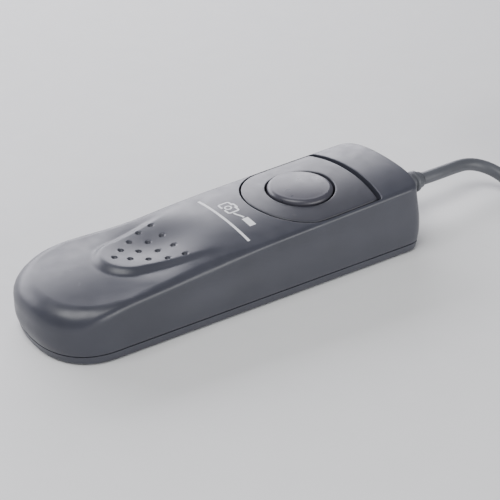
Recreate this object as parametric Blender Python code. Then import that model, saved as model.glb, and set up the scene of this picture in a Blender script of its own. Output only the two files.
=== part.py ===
"""A wired camera release: a hand-held two-stage shutter button with a sliding lock, on a thin cable.

The frame is in metres, +Z up. +X runs along the body from its rounded tail to the head, where the
cable leaves, and the origin is under the middle of the body, on the surface that it lies on.
"""

import math

import bmesh
import bpy
from mathutils import Matrix, Vector

MM = 0.001

# Body, seen from above: straight sides between a blunt rounded tail and a squarer head.
HALF_LENGTH = 45.5 * MM
HALF_WIDTH = 14.0 * MM
TAIL_REACH = 13.0 * MM
TAIL_POWER = 2.35
TAIL_LEAN = 1.1 * MM
HEAD_REACH = 7.2 * MM
HEAD_POWER = 4.2
BULGE_AT = 0.6
HEAD_LEAN_TOP = 0.6 * MM
HEAD_LEAN_BOTTOM = 1.3 * MM
TAIL_START = TAIL_REACH - HALF_LENGTH
HEAD_START = HALF_LENGTH - HEAD_REACH

# Body, seen from the side: a wedge that is thinner at the tail.
CREASE_AT_TAIL = 11.6 * MM
CREASE_AT_HEAD = 15.6 * MM
CREASE_INSET = 1.1 * MM
CREASE_FADE = (-12.0 * MM, -33.0 * MM)
CROWN = 1.25 * MM
CROWN_HALF_WIDTH = 12.3 * MM
NOSE_START = -28.0 * MM
NOSE_DROP = 0.7 * MM
EDGE_RADIUS = 0.9 * MM
TAIL_EDGE_RADIUS = 1.8 * MM
NOSE_RADIUS = 3.6 * MM

# Thumb rest: a raised tongue, with the surface round it scooped lower.
TONGUE_TIP = -28.7 * MM
TONGUE_RADIUS = 6.3 * MM
TONGUE_FLARE = 0.2
TONGUE_FLANK = 2.0 * MM
SCOOP_DEPTH = 1.0 * MM
SCOOP_END = -3.0 * MM
SCOOP_FULL = -22.0 * MM
DISH_DEPTH = 1.25 * MM
DISH_MIDDLE = -17.0 * MM
DISH_REACH = (14.0 * MM, 12.0 * MM)
DIMPLE_RADIUS = 0.55 * MM
DIMPLE_DEPTH = 0.45 * MM
DIMPLE_ROWS = ((-13.2, 4, 4.4), (-16.6, 4, 3.8), (-19.8, 3, 3.8), (-22.8, 2, 3.8), (-25.3, 1, 0.0))

# Shells.
PARTING = 2.0 * MM
PARTING_GAP = 0.15 * MM
WALL = 1.6 * MM
ROOF = 1.5 * MM
FLOOR = 1.5 * MM
LIP_CLEARANCE = 0.35 * MM
LIP_THICKNESS = 0.8 * MM
LIP_TOP = 3.4 * MM
GAP = 0.3 * MM
SEAT_GAP = 0.05 * MM

# Lock plate and button.
BUTTON_X = 20.0 * MM
HOLE_RADIUS = 7.5 * MM
BUTTON_RADIUS = 7.1 * MM
PLATE_ARC = 12.6 * MM
PLATE_MARGIN = 0.85 * MM
PLATE_HEAD_X = 32.8 * MM
PLATE_HEAD_ARC = 52.0 * MM
PLATE_THICKNESS = 1.8 * MM
LOCK_TRAVEL = 1.0 * MM
SLOT = LOCK_TRAVEL + 0.25 * MM
FLANGE_TOP = 1.7 * MM
FLANGE_BOTTOM = 3.0 * MM
FLANGE_REACH = 2.2 * MM
FLANGE_HEAD_REACH = 1.6 * MM
FLANGE_HALF_WIDTH = 10.4 * MM
CUP_WALL = 1.1 * MM
CUP_DEPTH = 4.6 * MM
CUP_FLOOR = 0.8 * MM
WINDOW_RADIUS = 6.0 * MM
STEM_RADIUS = 2.2 * MM
STEM_HOLE = 2.7 * MM
BUTTON_PROUD = 0.8 * MM
BUTTON_SHOULDER = (1.0 * MM, 0.9 * MM)
BUTTON_DOME = 0.35 * MM
CAP_THICKNESS = 1.3 * MM
SKIRT_DEPTH = 3.0 * MM
SKIRT_WALL = 0.9 * MM
STEM_TIP_Z = 8.9 * MM
RETAINER_Z = (9.05 * MM, 10.15 * MM)

# Contacts and board.
BOARD = (-8.0 * MM, 33.0 * MM, 8.6 * MM)
BOARD_Z = 2.1 * MM
BOARD_THICKNESS = 1.2 * MM
LEAF = 0.25 * MM
LEAF_HALF_WIDTH = 2.5 * MM
LEAF_SPACING = 1.3 * MM

# Cable, its inlet and its plug.
CABLE_RADIUS = 1.5 * MM
INLET_Z = 7.7 * MM
BOOT_END = 54.6 * MM
COIL_CENTRE = Vector((109.0, -4.0)) * MM
COIL_TURNS_ACROSS = 3
COIL_LAYERS = 2
COIL_INNER_LINE = 15.0 * MM
COIL_PITCH = 3.05 * MM
TIE_THICKNESS = 0.6 * MM
TIE_WIDTH = 5.0 * MM
PLUG_Y = -20.9 * MM
PLUG_START = 98.0 * MM
PLUG_Z = 10.3 * MM

# The free cable's routes in millimetres: from the body to the coil, and from the coil to the plug.
LEAD_ROUTE = ((54.9, 0.0, 7.7), (58.5, 0.0, 7.7), (62.5, 0.4, 7.5), (66.4, 1.0, 7.15),
              (70.0, 1.3, 6.7), (73.2, 0.5, 6.0), (75.6, -1.7, 5.1), (76.9, -4.9, 4.0),
              (77.0, -8.5, 2.9), (76.6, -12.2, 2.0), (77.2, -15.9, 1.6), (79.8, -19.2, 1.55),
              (84.2, -21.7, 1.55),
              (90.0, -23.4, 1.75), (96.2, -24.9, 2.15))
TAIL_ROUTE = ((89.9, -13.9, 8.65), (91.0, -16.8, 9.4), (93.0, -19.4, 10.0), (95.2, -20.75, 10.27),
              (97.6, -20.9, 10.3))

CASE_SCREWS = ((-33.0 * MM, 0.0), (38.4 * MM, 8.0 * MM), (38.4 * MM, -8.0 * MM))
BOARD_SCREWS = ((-4.8 * MM, 6.2 * MM), (-4.8 * MM, -6.2 * MM))
RETAINER_SCREWS = ((3.4 * MM, 7.2 * MM), (3.4 * MM, -7.2 * MM))
CLAMP_SCREWS = ((37.0 * MM, 3.7 * MM), (37.0 * MM, -3.7 * MM))


# ---------------------------------------------------------------- the body's shape


def smooth(t):
    """0 below 0, 1 above 1, and an even curve between."""
    t = min(1.0, max(0.0, t))
    return t * t * (3 - 2 * t)


def half_outline(count):
    """count + 1 evenly spaced points of the widest outline, from the head's middle over +Y to the tail's."""
    dense = []
    for i in range(91):
        turn = math.radians(i)
        dense.append((HEAD_START + HEAD_REACH * math.cos(turn) ** (2 / HEAD_POWER),
                      HALF_WIDTH * math.sin(turn) ** (2 / HEAD_POWER)))
    for i in range(91):
        turn = math.radians(90 - i)
        dense.append((TAIL_START - TAIL_REACH * abs(math.cos(turn)) ** (2 / TAIL_POWER),
                      HALF_WIDTH * math.sin(turn) ** (2 / TAIL_POWER)))
    along = [0.0]
    for (x0, y0), (x1, y1) in zip(dense, dense[1:]):
        along.append(along[-1] + math.hypot(x1 - x0, y1 - y0))
    points = []
    k = 0
    for i in range(count + 1):
        at = along[-1] * i / count
        while k < len(dense) - 2 and along[k + 1] < at:
            k += 1
        share = (at - along[k]) / (along[k + 1] - along[k])
        points.append(tuple(a + (b - a) * share for a, b in zip(dense[k], dense[k + 1])))
    points[0] = (HALF_LENGTH, 0.0)
    points[-1] = (-HALF_LENGTH, 0.0)
    return points


def outline(count):
    """The whole widest outline, counter-clockwise, with 2 * count points that mirror each other."""
    half = half_outline(count)
    return half + [(x, -y) for x, y in half[-2:0:-1]]


def head_lean(share):
    """How far the head's end stands back from its bulge, from the floor at 0 to the roof's edge at 1."""
    if share > BULGE_AT:
        return HEAD_LEAN_TOP * ((share - BULGE_AT) / (1 - BULGE_AT)) ** 2
    return HEAD_LEAN_BOTTOM * ((BULGE_AT - share) / BULGE_AT) ** 2


def tail_lean(share):
    """How far the tail's end stands back below its bulge."""
    return TAIL_LEAN * max(0.0, (BULGE_AT - share) / BULGE_AT) ** 2


def inset(point, distance, share):
    """A point of the widest outline, moved inwards, at that share of the wall's height."""
    x, y = point
    spine = min(HEAD_START, max(TAIL_START, x))
    if x < spine:
        along = (x - spine) * (1 - (distance + tail_lean(share)) / TAIL_REACH)
    else:
        along = (x - spine) * (1 - (distance + head_lean(share)) / HEAD_REACH)
    return (spine + along, y * (1 - distance / HALF_WIDTH))


def to_spine(point, share):
    """A point moved towards the body's straight middle line, which it reaches when share is 1."""
    x, y = point
    spine = min(HEAD_START, max(TAIL_START, x))
    return (spine + (x - spine) * (1 - share), y * (1 - share))


def tongue_distance(x, y):
    """How far a point lies outside the thumb rest's edge; below 0 inside it."""
    from_tip = x - TONGUE_TIP
    if from_tip < TONGUE_RADIUS:
        return math.hypot(from_tip - TONGUE_RADIUS, y) - TONGUE_RADIUS
    return abs(y) - TONGUE_RADIUS - TONGUE_FLARE * (from_tip - TONGUE_RADIUS)


def crease_height(x):
    share = (x + HALF_LENGTH) / (2 * HALF_LENGTH)
    return CREASE_AT_TAIL + (CREASE_AT_HEAD - CREASE_AT_TAIL) * share


def roof_height(x, y, scoop=None):
    """The height of the top surface. scoop is 1 where the surface round the thumb rest is lowest."""
    z = crease_height(x) + CROWN * max(0.0, 1 - abs(y / CROWN_HALF_WIDTH) ** 2.2)
    dish = math.hypot((x - DISH_MIDDLE) / DISH_REACH[0], y / DISH_REACH[1])
    z -= DISH_DEPTH * smooth(1 - dish)
    z -= NOSE_DROP * max(0.0, (NOSE_START - x) / (HALF_LENGTH + NOSE_START)) ** 2
    if scoop is None:
        scoop = smooth(0.5 + tongue_distance(x, y) / TONGUE_FLANK)
    depth = SCOOP_DEPTH * max(0.0, 1 - (y / HALF_WIDTH) ** 4)
    return z - depth * scoop * smooth((SCOOP_END - x) / (SCOOP_END - SCOOP_FULL))


def edge_radius(x):
    """The round between the wall and the roof, small at the head and large on the tail's nose."""
    side = EDGE_RADIUS + (TAIL_EDGE_RADIUS - EDGE_RADIUS) * smooth((6 * MM - x) / (20 * MM))
    return side + (NOSE_RADIUS - side) * smooth((NOSE_START - x) / (15 * MM))


def crease_inset(x):
    """How far the wall's top stands in from the widest outline. It fades out round the tail."""
    start, end = CREASE_FADE
    return CREASE_INSET * (1 - smooth((x - start) / (end - start)))


def wall_inset(x, share):
    """How far the wall stands in from the widest outline, from the parting at 0 to the edge at 1."""
    return crease_inset(x) * smooth((share - 0.2) / 0.8)


def roof_rings(points, edge_steps, roof_steps, lower=0.0, extra=0.0, scoop=None):
    """Rings from the wall's top over the edge round to the spine. lower and extra set it inwards."""
    rings = []
    for step in range(edge_steps + 1):
        turn = math.pi / 2 * step / edge_steps
        ring = []
        for point in points:
            radius = max(EDGE_RADIUS, edge_radius(point[0]) - lower)
            x, y = inset(point, crease_inset(point[0]) + extra + radius * (1 - math.cos(turn)), 1.0)
            ring.append((x, y, roof_height(x, y, scoop) - radius * (1 - math.sin(turn)) - lower))
        rings.append(ring)
    for step in range(1, roof_steps + 1):
        ring = []
        for point in points:
            reach = crease_inset(point[0]) + extra + max(EDGE_RADIUS, edge_radius(point[0]) - lower)
            start = inset(point, reach, 1.0)
            x, y = to_spine(start, step / roof_steps)
            ring.append((x, y, roof_height(x, y, scoop) - lower))
        rings.append(ring)
    return rings


def body_rings(points, base, edge_steps, roof_steps):
    """The outer surface from the height of base upwards."""
    top = roof_rings(points, edge_steps, roof_steps)
    rings = []
    for share in (0.15, 0.35, 0.55, 0.75, 0.9):
        ring = []
        for point, (_, _, edge) in zip(points, top[0]):
            x, y = inset(point, wall_inset(point[0], share), share)
            ring.append((x, y, base + (edge - base) * (share - 0.15) / 0.85))
        rings.append(ring)
    return rings + top


# ---------------------------------------------------------------- making meshes


def material(name, colour, roughness, metallic=0.0):
    made = bpy.data.materials.new(name)
    made.use_nodes = True
    shader = made.node_tree.nodes["Principled BSDF"]
    shader.inputs["Base Color"].default_value = (*colour, 1)
    shader.inputs["Roughness"].default_value = roughness
    shader.inputs["Metallic"].default_value = metallic
    return made


def add(name, bm, made_of=None):
    """A new object from a bmesh, which is freed."""
    bmesh.ops.remove_doubles(bm, verts=bm.verts, dist=1e-6)
    bmesh.ops.recalc_face_normals(bm, faces=bm.faces)
    mesh = bpy.data.meshes.new(name)
    bm.to_mesh(mesh)
    bm.free()
    mesh.shade_smooth()
    mesh.set_sharp_from_angle(angle=math.radians(35))
    obj = bpy.data.objects.new(name, mesh)
    bpy.context.scene.collection.objects.link(obj)
    if made_of:
        mesh.materials.append(made_of)
    return obj


def loft(name, rings, made_of=None, close_top=True):
    """A closed skin over rings of equal length. Without close_top, the last ring has met itself."""
    bm = bmesh.new()
    loops = [[bm.verts.new(point) for point in ring] for ring in rings]
    count = len(loops[0])
    for low, high in zip(loops, loops[1:]):
        for i in range(count):
            j = (i + 1) % count
            bm.faces.new((low[i], low[j], high[j], high[i]))
    bm.faces.new(loops[0])
    if close_top:
        bm.faces.new(loops[-1])
    return add(name, bm, made_of)


def prism(name, points, low, high, made_of=None):
    """A flat outline, extruded upwards."""
    return loft(name, [[(x, y, z) for x, y in points] for z in (low, high)], made_of)


def box(name, low, high, made_of=None):
    bm = bmesh.new()
    bmesh.ops.create_cube(bm, size=1.0)
    size = Vector(high) - Vector(low)
    bmesh.ops.scale(bm, vec=size, verts=bm.verts)
    bmesh.ops.translate(bm, vec=(Vector(high) + Vector(low)) / 2, verts=bm.verts)
    return add(name, bm, made_of)


def turned(name, profile, sides, made_of=None, at=(0, 0, 0), axis="Z"):
    """A solid turned from (radius, height) pairs, its ends closed, standing on at."""
    bm = bmesh.new()
    loops = []
    for radius, height in profile:
        loops.append([bm.verts.new((radius * math.cos(2 * math.pi * i / sides),
                                    radius * math.sin(2 * math.pi * i / sides), height))
                      for i in range(sides)])
    for low, high in zip(loops, loops[1:]):
        for i in range(sides):
            j = (i + 1) % sides
            bm.faces.new((low[i], low[j], high[j], high[i]))
    bm.faces.new(loops[0])
    bm.faces.new(loops[-1])
    if axis == "X":
        bmesh.ops.rotate(bm, verts=bm.verts, matrix=Matrix.Rotation(math.pi / 2, 3, "Y"))
    bmesh.ops.translate(bm, vec=at, verts=bm.verts)
    return add(name, bm, made_of)


def rod(name, x, y, low, high, radius, sides=16, made_of=None):
    return turned(name, [(radius, low), (radius, high)], sides, made_of, (x, y, 0))


def ring_profile(name, profile, sides, made_of=None, at=(0, 0, 0)):
    """A ring turned from a closed list of (radius, height) pairs."""
    bm = bmesh.new()
    loops = []
    for radius, height in profile:
        loops.append([bm.verts.new((radius * math.cos(2 * math.pi * i / sides),
                                    radius * math.sin(2 * math.pi * i / sides), height))
                      for i in range(sides)])
    for low, high in zip(loops, loops[1:] + loops[:1]):
        for i in range(sides):
            j = (i + 1) % sides
            bm.faces.new((low[i], low[j], high[j], high[i]))
    bmesh.ops.translate(bm, vec=at, verts=bm.verts)
    return add(name, bm, made_of)


def combine(target, tool, operation):
    """Cuts, joins or intersects target with tool, and deletes tool."""
    modifier = target.modifiers.new(operation.title(), "BOOLEAN")
    modifier.operation = operation
    modifier.object = tool
    graph = bpy.context.evaluated_depsgraph_get()
    made = bpy.data.meshes.new_from_object(target.evaluated_get(graph))
    target.modifiers.clear()
    old = target.data
    target.data = made
    made.name = target.name
    bpy.data.meshes.remove(old)
    bpy.data.objects.remove(tool)
    return target


def cut(target, *tools):
    for tool in tools:
        combine(target, tool, "DIFFERENCE")
    return target


def join(target, *tools):
    for tool in tools:
        combine(target, tool, "UNION")
    return target


def tube(name, points, radius, made_of, resolution=2):
    """A closed tube on a polyline."""
    curve = bpy.data.curves.new(name, "CURVE")
    curve.dimensions = "3D"
    spline = curve.splines.new("POLY")
    spline.points.add(len(points) - 1)
    for slot, point in zip(spline.points, points):
        slot.co = (*point, 1)
    curve.bevel_depth = radius
    curve.bevel_resolution = resolution
    curve.use_fill_caps = True
    obj = bpy.data.objects.new(name, curve)
    bpy.context.scene.collection.objects.link(obj)
    curve.materials.append(made_of)
    return obj


def smooth_path(route, spacing):
    """Points about spacing apart on a smooth curve through the route's own points."""
    route = [Vector(point) for point in route]
    ends = [2 * route[0] - route[1], *route, 2 * route[-1] - route[-2]]
    fine = []
    for p0, p1, p2, p3 in zip(ends, ends[1:], ends[2:], ends[3:]):
        for step in range(24):
            t = step / 24
            fine.append(0.5 * (2 * p1 + (p2 - p0) * t + (2 * p0 - 5 * p1 + 4 * p2 - p3) * t * t
                               + (3 * p1 - p0 - 3 * p2 + p3) * t * t * t))
    fine.append(route[-1])
    along = [0.0]
    for a, b in zip(fine, fine[1:]):
        along.append(along[-1] + (b - a).length)
    count = max(2, round(along[-1] / spacing))
    points = []
    k = 0
    for i in range(count + 1):
        at = along[-1] * i / count
        while k < len(fine) - 2 and along[k + 1] < at:
            k += 1
        points.append(fine[k].lerp(fine[k + 1], (at - along[k]) / (along[k + 1] - along[k])))
    return points


# ---------------------------------------------------------------- shells


def plate_outline(margin, head_shift=0.0):
    """The lock plate seen from above, grown by margin on every side and by head_shift at its head end."""
    radius = PLATE_ARC + margin
    side = HALF_WIDTH - CREASE_INSET - PLATE_MARGIN + margin
    head = PLATE_HEAD_X + margin + head_shift
    head_centre = head - PLATE_HEAD_ARC
    turn = math.asin(side / PLATE_HEAD_ARC)
    corner = math.asin(min(1.0, side / radius))
    points = []
    for i in range(13):
        a = -turn + 2 * turn * i / 12
        points.append((head_centre + PLATE_HEAD_ARC * math.cos(a), PLATE_HEAD_ARC * math.sin(a)))
    for i in range(25):
        a = math.pi - corner + 2 * corner * i / 24
        points.append((BUTTON_X + radius * math.cos(a), radius * math.sin(a)))
    return points


def body_skin(name, lower, made_of=None):
    """The upper body's outer solid, lowered as a whole. Cutting with it leaves an even layer."""
    rings = []
    for ring in body_rings(outline(56), PARTING + PARTING_GAP, 3, 9):
        rings.append([(x, y, z - lower) for x, y, z in ring])
    return loft(name, rings, made_of, close_top=False)


def cavity(name):
    """The space inside the upper housing."""
    points = outline(28)
    walls = []
    for z, share in ((1.0 * MM, 0.1), (LIP_TOP + GAP, 0.2)):
        walls.append([(*inset(point, WALL, share), z) for point in points])
    return loft(name, walls + roof_rings(points, 2, 4, lower=ROOF, extra=WALL - 0.3 * MM, scoop=1.0),
                close_top=False)


def make_upper_housing(plastic):
    body = body_skin("upper_housing", 0.0, plastic)
    cut(body, cavity("hollow"))
    opening = prism("opening", plate_outline(GAP, SLOT - GAP), 3 * MM, 20 * MM)
    cut(opening, body_skin("below_plate", PLATE_THICKNESS + GAP))
    cut(body, opening)
    for x, y in CASE_SCREWS:
        top = crease_height(x) - 0.6 * MM
        join(body, rod("boss", x, y, 2.75 * MM, top, 2.1 * MM))
        cut(body, rod("pilot", x, y, 1.0 * MM, 7.2 * MM, 1.25 * MM, 12))
    for x, y in RETAINER_SCREWS:
        join(body, rod("boss", x, y, 10.25 * MM, crease_height(x) + 0.2 * MM, 1.9 * MM, 12))
        cut(body, rod("pilot", x, y, 9.7 * MM, 12.0 * MM, 0.85 * MM, 10))
    cut(body, turned("inlet", [(3.3 * MM, -4 * MM), (3.3 * MM, 4 * MM)], 24, None,
                     (HALF_LENGTH - 1 * MM, 0, INLET_Z), "X"))
    cut(body, box("notch", (40.6 * MM, -3.3 * MM, 1 * MM), (48.6 * MM, 3.3 * MM, INLET_Z)))
    for x, count, pitch in DIMPLE_ROWS:
        for i in range(count):
            px, py = x * MM, (i - (count - 1) / 2) * pitch * MM
            top = roof_height(px, py)
            cut(body, turned("dimple", [(DIMPLE_RADIUS * 0.45, top - DIMPLE_DEPTH),
                                        (DIMPLE_RADIUS, top - 0.1 * MM), (DIMPLE_RADIUS, top + 0.5 * MM)],
                             8, None, (px, py, 0)))
    return body


def make_lower_housing(plastic):
    points = outline(28)
    top = PARTING - PARTING_GAP / 2
    skin = []
    for distance, z in ((0.7 * MM, 0.0), (0.2 * MM, 0.2 * MM), (0.0, 0.7 * MM), (0.0, top)):
        skin.append([(*inset(point, distance, 0.14 * z / top), z) for point in points])
    body = loft("lower_housing", skin, plastic)
    cut(body, prism("tray", [inset(p, WALL + 0.25 * MM, 0.1) for p in points], FLOOR, 4 * MM))
    lip = prism("lip", [inset(p, WALL + LIP_CLEARANCE, 0.1) for p in points], FLOOR - 0.6 * MM, LIP_TOP)
    cut(lip, prism("lip_inside", [inset(p, WALL + LIP_CLEARANCE + LIP_THICKNESS, 0.1) for p in points],
                   0.5 * MM, 5 * MM))
    cut(lip, box("lip_gap", (39 * MM, -4.2 * MM, 0), (46 * MM, 4.2 * MM, 6 * MM)))
    join(body, lip)
    join(body, box("inlet_tab", (HALF_LENGTH - 1.75 * MM, -2.9 * MM, 0.8 * MM),
                   (HALF_LENGTH - 0.45 * MM, 2.9 * MM, INLET_Z - 3.6 * MM)))
    for x, y in CASE_SCREWS:
        join(body, rod("boss", x, y, 0.9 * MM, 2.45 * MM, 3.4 * MM, 20))
        cut(body, rod("counterbore", x, y, -1 * MM, 1.3 * MM, 2.6 * MM, 20))
        cut(body, rod("screw_hole", x, y, 0.5 * MM, 4 * MM, 1.3 * MM, 12))
    for x, y in BOARD_SCREWS:
        join(body, rod("standoff", x, y, 0.9 * MM, BOARD_Z - SEAT_GAP, 2.2 * MM, 14))
        cut(body, rod("pilot", x, y, 0.75 * MM, 3 * MM, 0.75 * MM, 10))
    for y in (6.2 * MM, -6.2 * MM):
        join(body, rod("standoff", 29 * MM, y, 0.9 * MM, BOARD_Z - SEAT_GAP, 1.6 * MM, 12))
    for x, y in CLAMP_SCREWS:
        join(body, rod("post", x, y, 0.9 * MM, INLET_Z + 1.3 * MM, 1.6 * MM, 14))
        cut(body, rod("pilot", x, y, 3.5 * MM, 10 * MM, 0.75 * MM, 10))
    return body


# ---------------------------------------------------------------- lock plate and button


def make_lock_plate(plastic, top):
    plate = prism("lock_plate", plate_outline(0.0), 3 * MM, 20 * MM, plastic)
    combine(plate, body_skin("skin", 0.0), "INTERSECT")
    cut(plate, body_skin("under", PLATE_THICKNESS))
    flange_points = [(x, max(-FLANGE_HALF_WIDTH, min(FLANGE_HALF_WIDTH, y)))
                     for x, y in plate_outline(FLANGE_REACH, FLANGE_HEAD_REACH - FLANGE_REACH)]
    flange = prism("flange", flange_points, 3 * MM, 20 * MM)
    combine(flange, body_skin("skin", FLANGE_TOP), "INTERSECT")
    cut(flange, body_skin("under", FLANGE_BOTTOM))
    trim = FLANGE_TOP - 0.15 * MM
    under = prism("step", [(x, y * 0.82) for x, y in plate_outline(-1.5 * MM)], 3 * MM, 20 * MM)
    combine(under, body_skin("skin", trim), "INTERSECT")
    cut(under, body_skin("under", FLANGE_BOTTOM - 0.2 * MM))
    join(plate, flange)
    join(plate, under)
    join(plate, rod("cup", BUTTON_X, 0, top - CUP_DEPTH - CUP_FLOOR, top - 1.2 * MM,
                    HOLE_RADIUS + CUP_WALL, 40))
    cut(plate, rod("well", BUTTON_X, 0, top - CUP_DEPTH, top + 5 * MM, HOLE_RADIUS, 48))
    cut(plate, rod("stem_hole", BUTTON_X, 0, top - 8 * MM, top, STEM_HOLE, 20))
    return plate


def make_release_button(plastic, top):
    crown = top + BUTTON_PROUD
    under = crown - BUTTON_DOME - CAP_THICKNESS
    skirt = crown - SKIRT_DEPTH
    inner = BUTTON_RADIUS - SKIRT_WALL
    groove = top - CUP_DEPTH - CUP_FLOOR - 0.35 * MM
    profile = [
        (0.6 * MM, STEM_TIP_Z), (STEM_RADIUS * 0.8, STEM_TIP_Z + 0.15 * MM),
        (STEM_RADIUS, groove - 0.45 * MM), (STEM_RADIUS - 0.5 * MM, groove - 0.44 * MM),
        (STEM_RADIUS - 0.5 * MM, groove), (STEM_RADIUS, groove + 0.01 * MM),
        (STEM_RADIUS, under), (inner - 1.0 * MM, under), (inner, under - 0.7 * MM), (inner, skirt),
        (BUTTON_RADIUS, skirt),
    ]
    reach, drop = BUTTON_SHOULDER
    for i in range(6):
        turn = math.radians(18 * i)
        profile.append((BUTTON_RADIUS - reach * (1 - math.cos(turn)),
                        crown - BUTTON_DOME - drop * (1 - math.sin(turn))))
    for share in (0.65, 0.35, 0.1):
        profile.append(((BUTTON_RADIUS - reach) * share, crown - BUTTON_DOME * share ** 2))
    return turned("release_button", profile, 40, plastic, (BUTTON_X, 0, 0))


def make_button_clip(steel, top):
    """The retaining ring that snaps into the stem's groove under the cup."""
    low = top - CUP_DEPTH - CUP_FLOOR - 0.75 * MM
    inner = STEM_RADIUS - 0.4 * MM
    clip = ring_profile("button_clip", [(inner, low), (3.7 * MM, low), (3.7 * MM, low + 0.32 * MM),
                                        (inner, low + 0.32 * MM)], 20, steel, (BUTTON_X, 0, 0))
    return cut(clip, box("mouth", (BUTTON_X - 5 * MM, -1.3 * MM, low - 1 * MM),
                         (BUTTON_X - 1.2 * MM, 1.3 * MM, low + 2 * MM)))


def make_button_spring(steel, top):
    """A compression spring round the stem, between the cup's floor and the cap."""
    wire = 0.24 * MM
    low = top - CUP_DEPTH + wire + SEAT_GAP
    high = top + BUTTON_PROUD - BUTTON_DOME - CAP_THICKNESS - wire - SEAT_GAP
    turns = 3.5
    steps = 14
    points = []
    for i in range(int(turns * steps) + 1):
        turn = 2 * math.pi * i / steps
        share = i / (turns * steps)
        points.append((BUTTON_X + 4.4 * MM * math.cos(turn), 4.4 * MM * math.sin(turn),
                       low + (high - low) * share))
    return tube("button_spring", points, wire, steel, resolution=0)


def make_slide_retainer(plastic):
    """The frame that holds the lock plate up against the roof."""
    low, high = RETAINER_Z
    frame = prism("slide_retainer", [(1.0 * MM, -9.6 * MM), (34.2 * MM, -9.6 * MM), (35.2 * MM, -8.4 * MM),
                                     (35.2 * MM, 8.4 * MM), (34.2 * MM, 9.6 * MM), (1.0 * MM, 9.6 * MM)],
                  low, high, plastic)
    window = []
    for start, shift in ((-90, LOCK_TRAVEL), (90, 0.0)):
        for i in range(13):
            turn = math.radians(start + 180 * i / 12)
            window.append((BUTTON_X + shift + WINDOW_RADIUS * math.cos(turn), WINDOW_RADIUS * math.sin(turn)))
    cut(frame, prism("window", window, low - 1 * MM, high + 1 * MM))
    cut(frame, box("cable_notch", (33.2 * MM, -2.4 * MM, low - 1 * MM), (37 * MM, 2.4 * MM, high + 1 * MM)))
    for x, y in RETAINER_SCREWS:
        cut(frame, rod("hole", x, y, low - 1 * MM, high + 1 * MM, 0.95 * MM, 12))
    return frame


# ---------------------------------------------------------------- contacts, board and fasteners


def make_screw(name, x, y, head_z, shank_z, radius, shank, head_height, steel):
    """A cross-recess screw. Its head's outer face is at head_z and its tip at shank_z."""
    up = 1 if shank_z > head_z else -1
    seat = head_z + up * head_height
    profile = [(radius * 0.8, head_z), (radius, head_z + up * 0.25 * MM), (radius, seat),
               (shank, seat + up * 0.01 * MM), (shank, shank_z - up * 0.8 * MM), (shank * 0.3, shank_z)]
    if up < 0:
        profile.reverse()
    screw = turned(name, profile, 16, steel, (x, y, 0))
    depth = head_height * 0.55
    low, high = sorted((head_z - up * 1 * MM, head_z + up * depth))
    arm, thin = radius * 0.62, radius * 0.14
    cross = box("cross", (x - arm, y - thin, low), (x + arm, y + thin, high))
    join(cross, box("arm", (x - thin, y - arm, low), (x + thin, y + arm, high)))
    return cut(screw, cross)


def make_leaf(name, foot_x, tip_x, blade_z, brass):
    """A stamped contact leaf: a foot standing on the board and a blade running under the stem."""
    board_top = BOARD_Z + BOARD_THICKNESS + 0.1 * MM
    side = [(foot_x, board_top), (foot_x + LEAF, board_top), (foot_x + LEAF, blade_z),
            (tip_x, blade_z), (tip_x, blade_z + LEAF), (foot_x, blade_z + LEAF)]
    rings = [[(x, y, z) for x, z in side] for y in (-LEAF_HALF_WIDTH, LEAF_HALF_WIDTH)]
    return loft(name, rings, brass)


def make_circuit_board(fibre):
    x0, x1, half = BOARD
    board = box("circuit_board", (x0, -half, BOARD_Z), (x1, half, BOARD_Z + BOARD_THICKNESS), fibre)
    for x, y in BOARD_SCREWS:
        cut(board, rod("hole", x, y, 0, 10 * MM, 1.0 * MM, 12))
    return board


# ---------------------------------------------------------------- cable


def make_strain_relief(rubber):
    """The grommet in the head's end wall, with a ribbed boot outside it."""
    profile = [(4.0 * MM, 40.2 * MM), (4.0 * MM, 41.4 * MM), (2.7 * MM, 41.45 * MM), (2.7 * MM, 45.5 * MM),
               (3.4 * MM, 45.55 * MM), (3.4 * MM, 46.8 * MM)]
    radius = 2.9 * MM
    x = 47.2 * MM
    for _ in range(3):
        profile += [(radius - 0.45 * MM, x), (radius - 0.45 * MM, x + 0.7 * MM),
                    (radius, x + 0.75 * MM), (radius - 0.12 * MM, x + 1.9 * MM)]
        radius -= 0.2 * MM
        x += 2.1 * MM
    profile += [(2.0 * MM, x + 0.1 * MM), (1.8 * MM, BOOT_END)]
    return turned("strain_relief", profile, 20, rubber, (0, 0, INLET_Z), "X")


def coil_outline():
    """(inner radius, outer radius, height) of the coil's bundle."""
    inner = COIL_INNER_LINE - CABLE_RADIUS - 0.1 * MM
    outer = COIL_INNER_LINE + COIL_PITCH * (COIL_TURNS_ACROSS - 1) + CABLE_RADIUS + 0.1 * MM
    return inner, outer, COIL_PITCH * (COIL_LAYERS - 1) + 2 * CABLE_RADIUS


def make_cable_coil(rubber):
    inner, outer, height = coil_outline()
    low = TIE_THICKNESS + SEAT_GAP
    r = 1.1 * MM
    profile = [(inner + r, low), (outer - r, low), (outer, low + r), (outer, low + height - r),
               (outer - r, low + height), (inner + r, low + height), (inner, low + height - r),
               (inner, low + r)]
    return ring_profile("cable_coil", profile, 48, rubber, (*COIL_CENTRE, 0))


def make_coil_tie(strap):
    """A soft strap closed round the bundle, on the side away from the body."""
    inner, outer, height = coil_outline()
    low = TIE_THICKNESS + SEAT_GAP
    x0, x1 = COIL_CENTRE.x + inner - GAP, COIL_CENTRE.x + outer + GAP
    y0, y1 = COIL_CENTRE.y - TIE_WIDTH / 2, COIL_CENTRE.y + TIE_WIDTH / 2
    top = low + height + SEAT_GAP
    tie = box("coil_tie", (x0 - TIE_THICKNESS, y0, 0.0), (x1 + TIE_THICKNESS, y1, top + TIE_THICKNESS), strap)
    return cut(tie, box("bundle", (x0, y0 - 1 * MM, TIE_THICKNESS), (x1, y1 + 1 * MM, top)))


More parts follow.
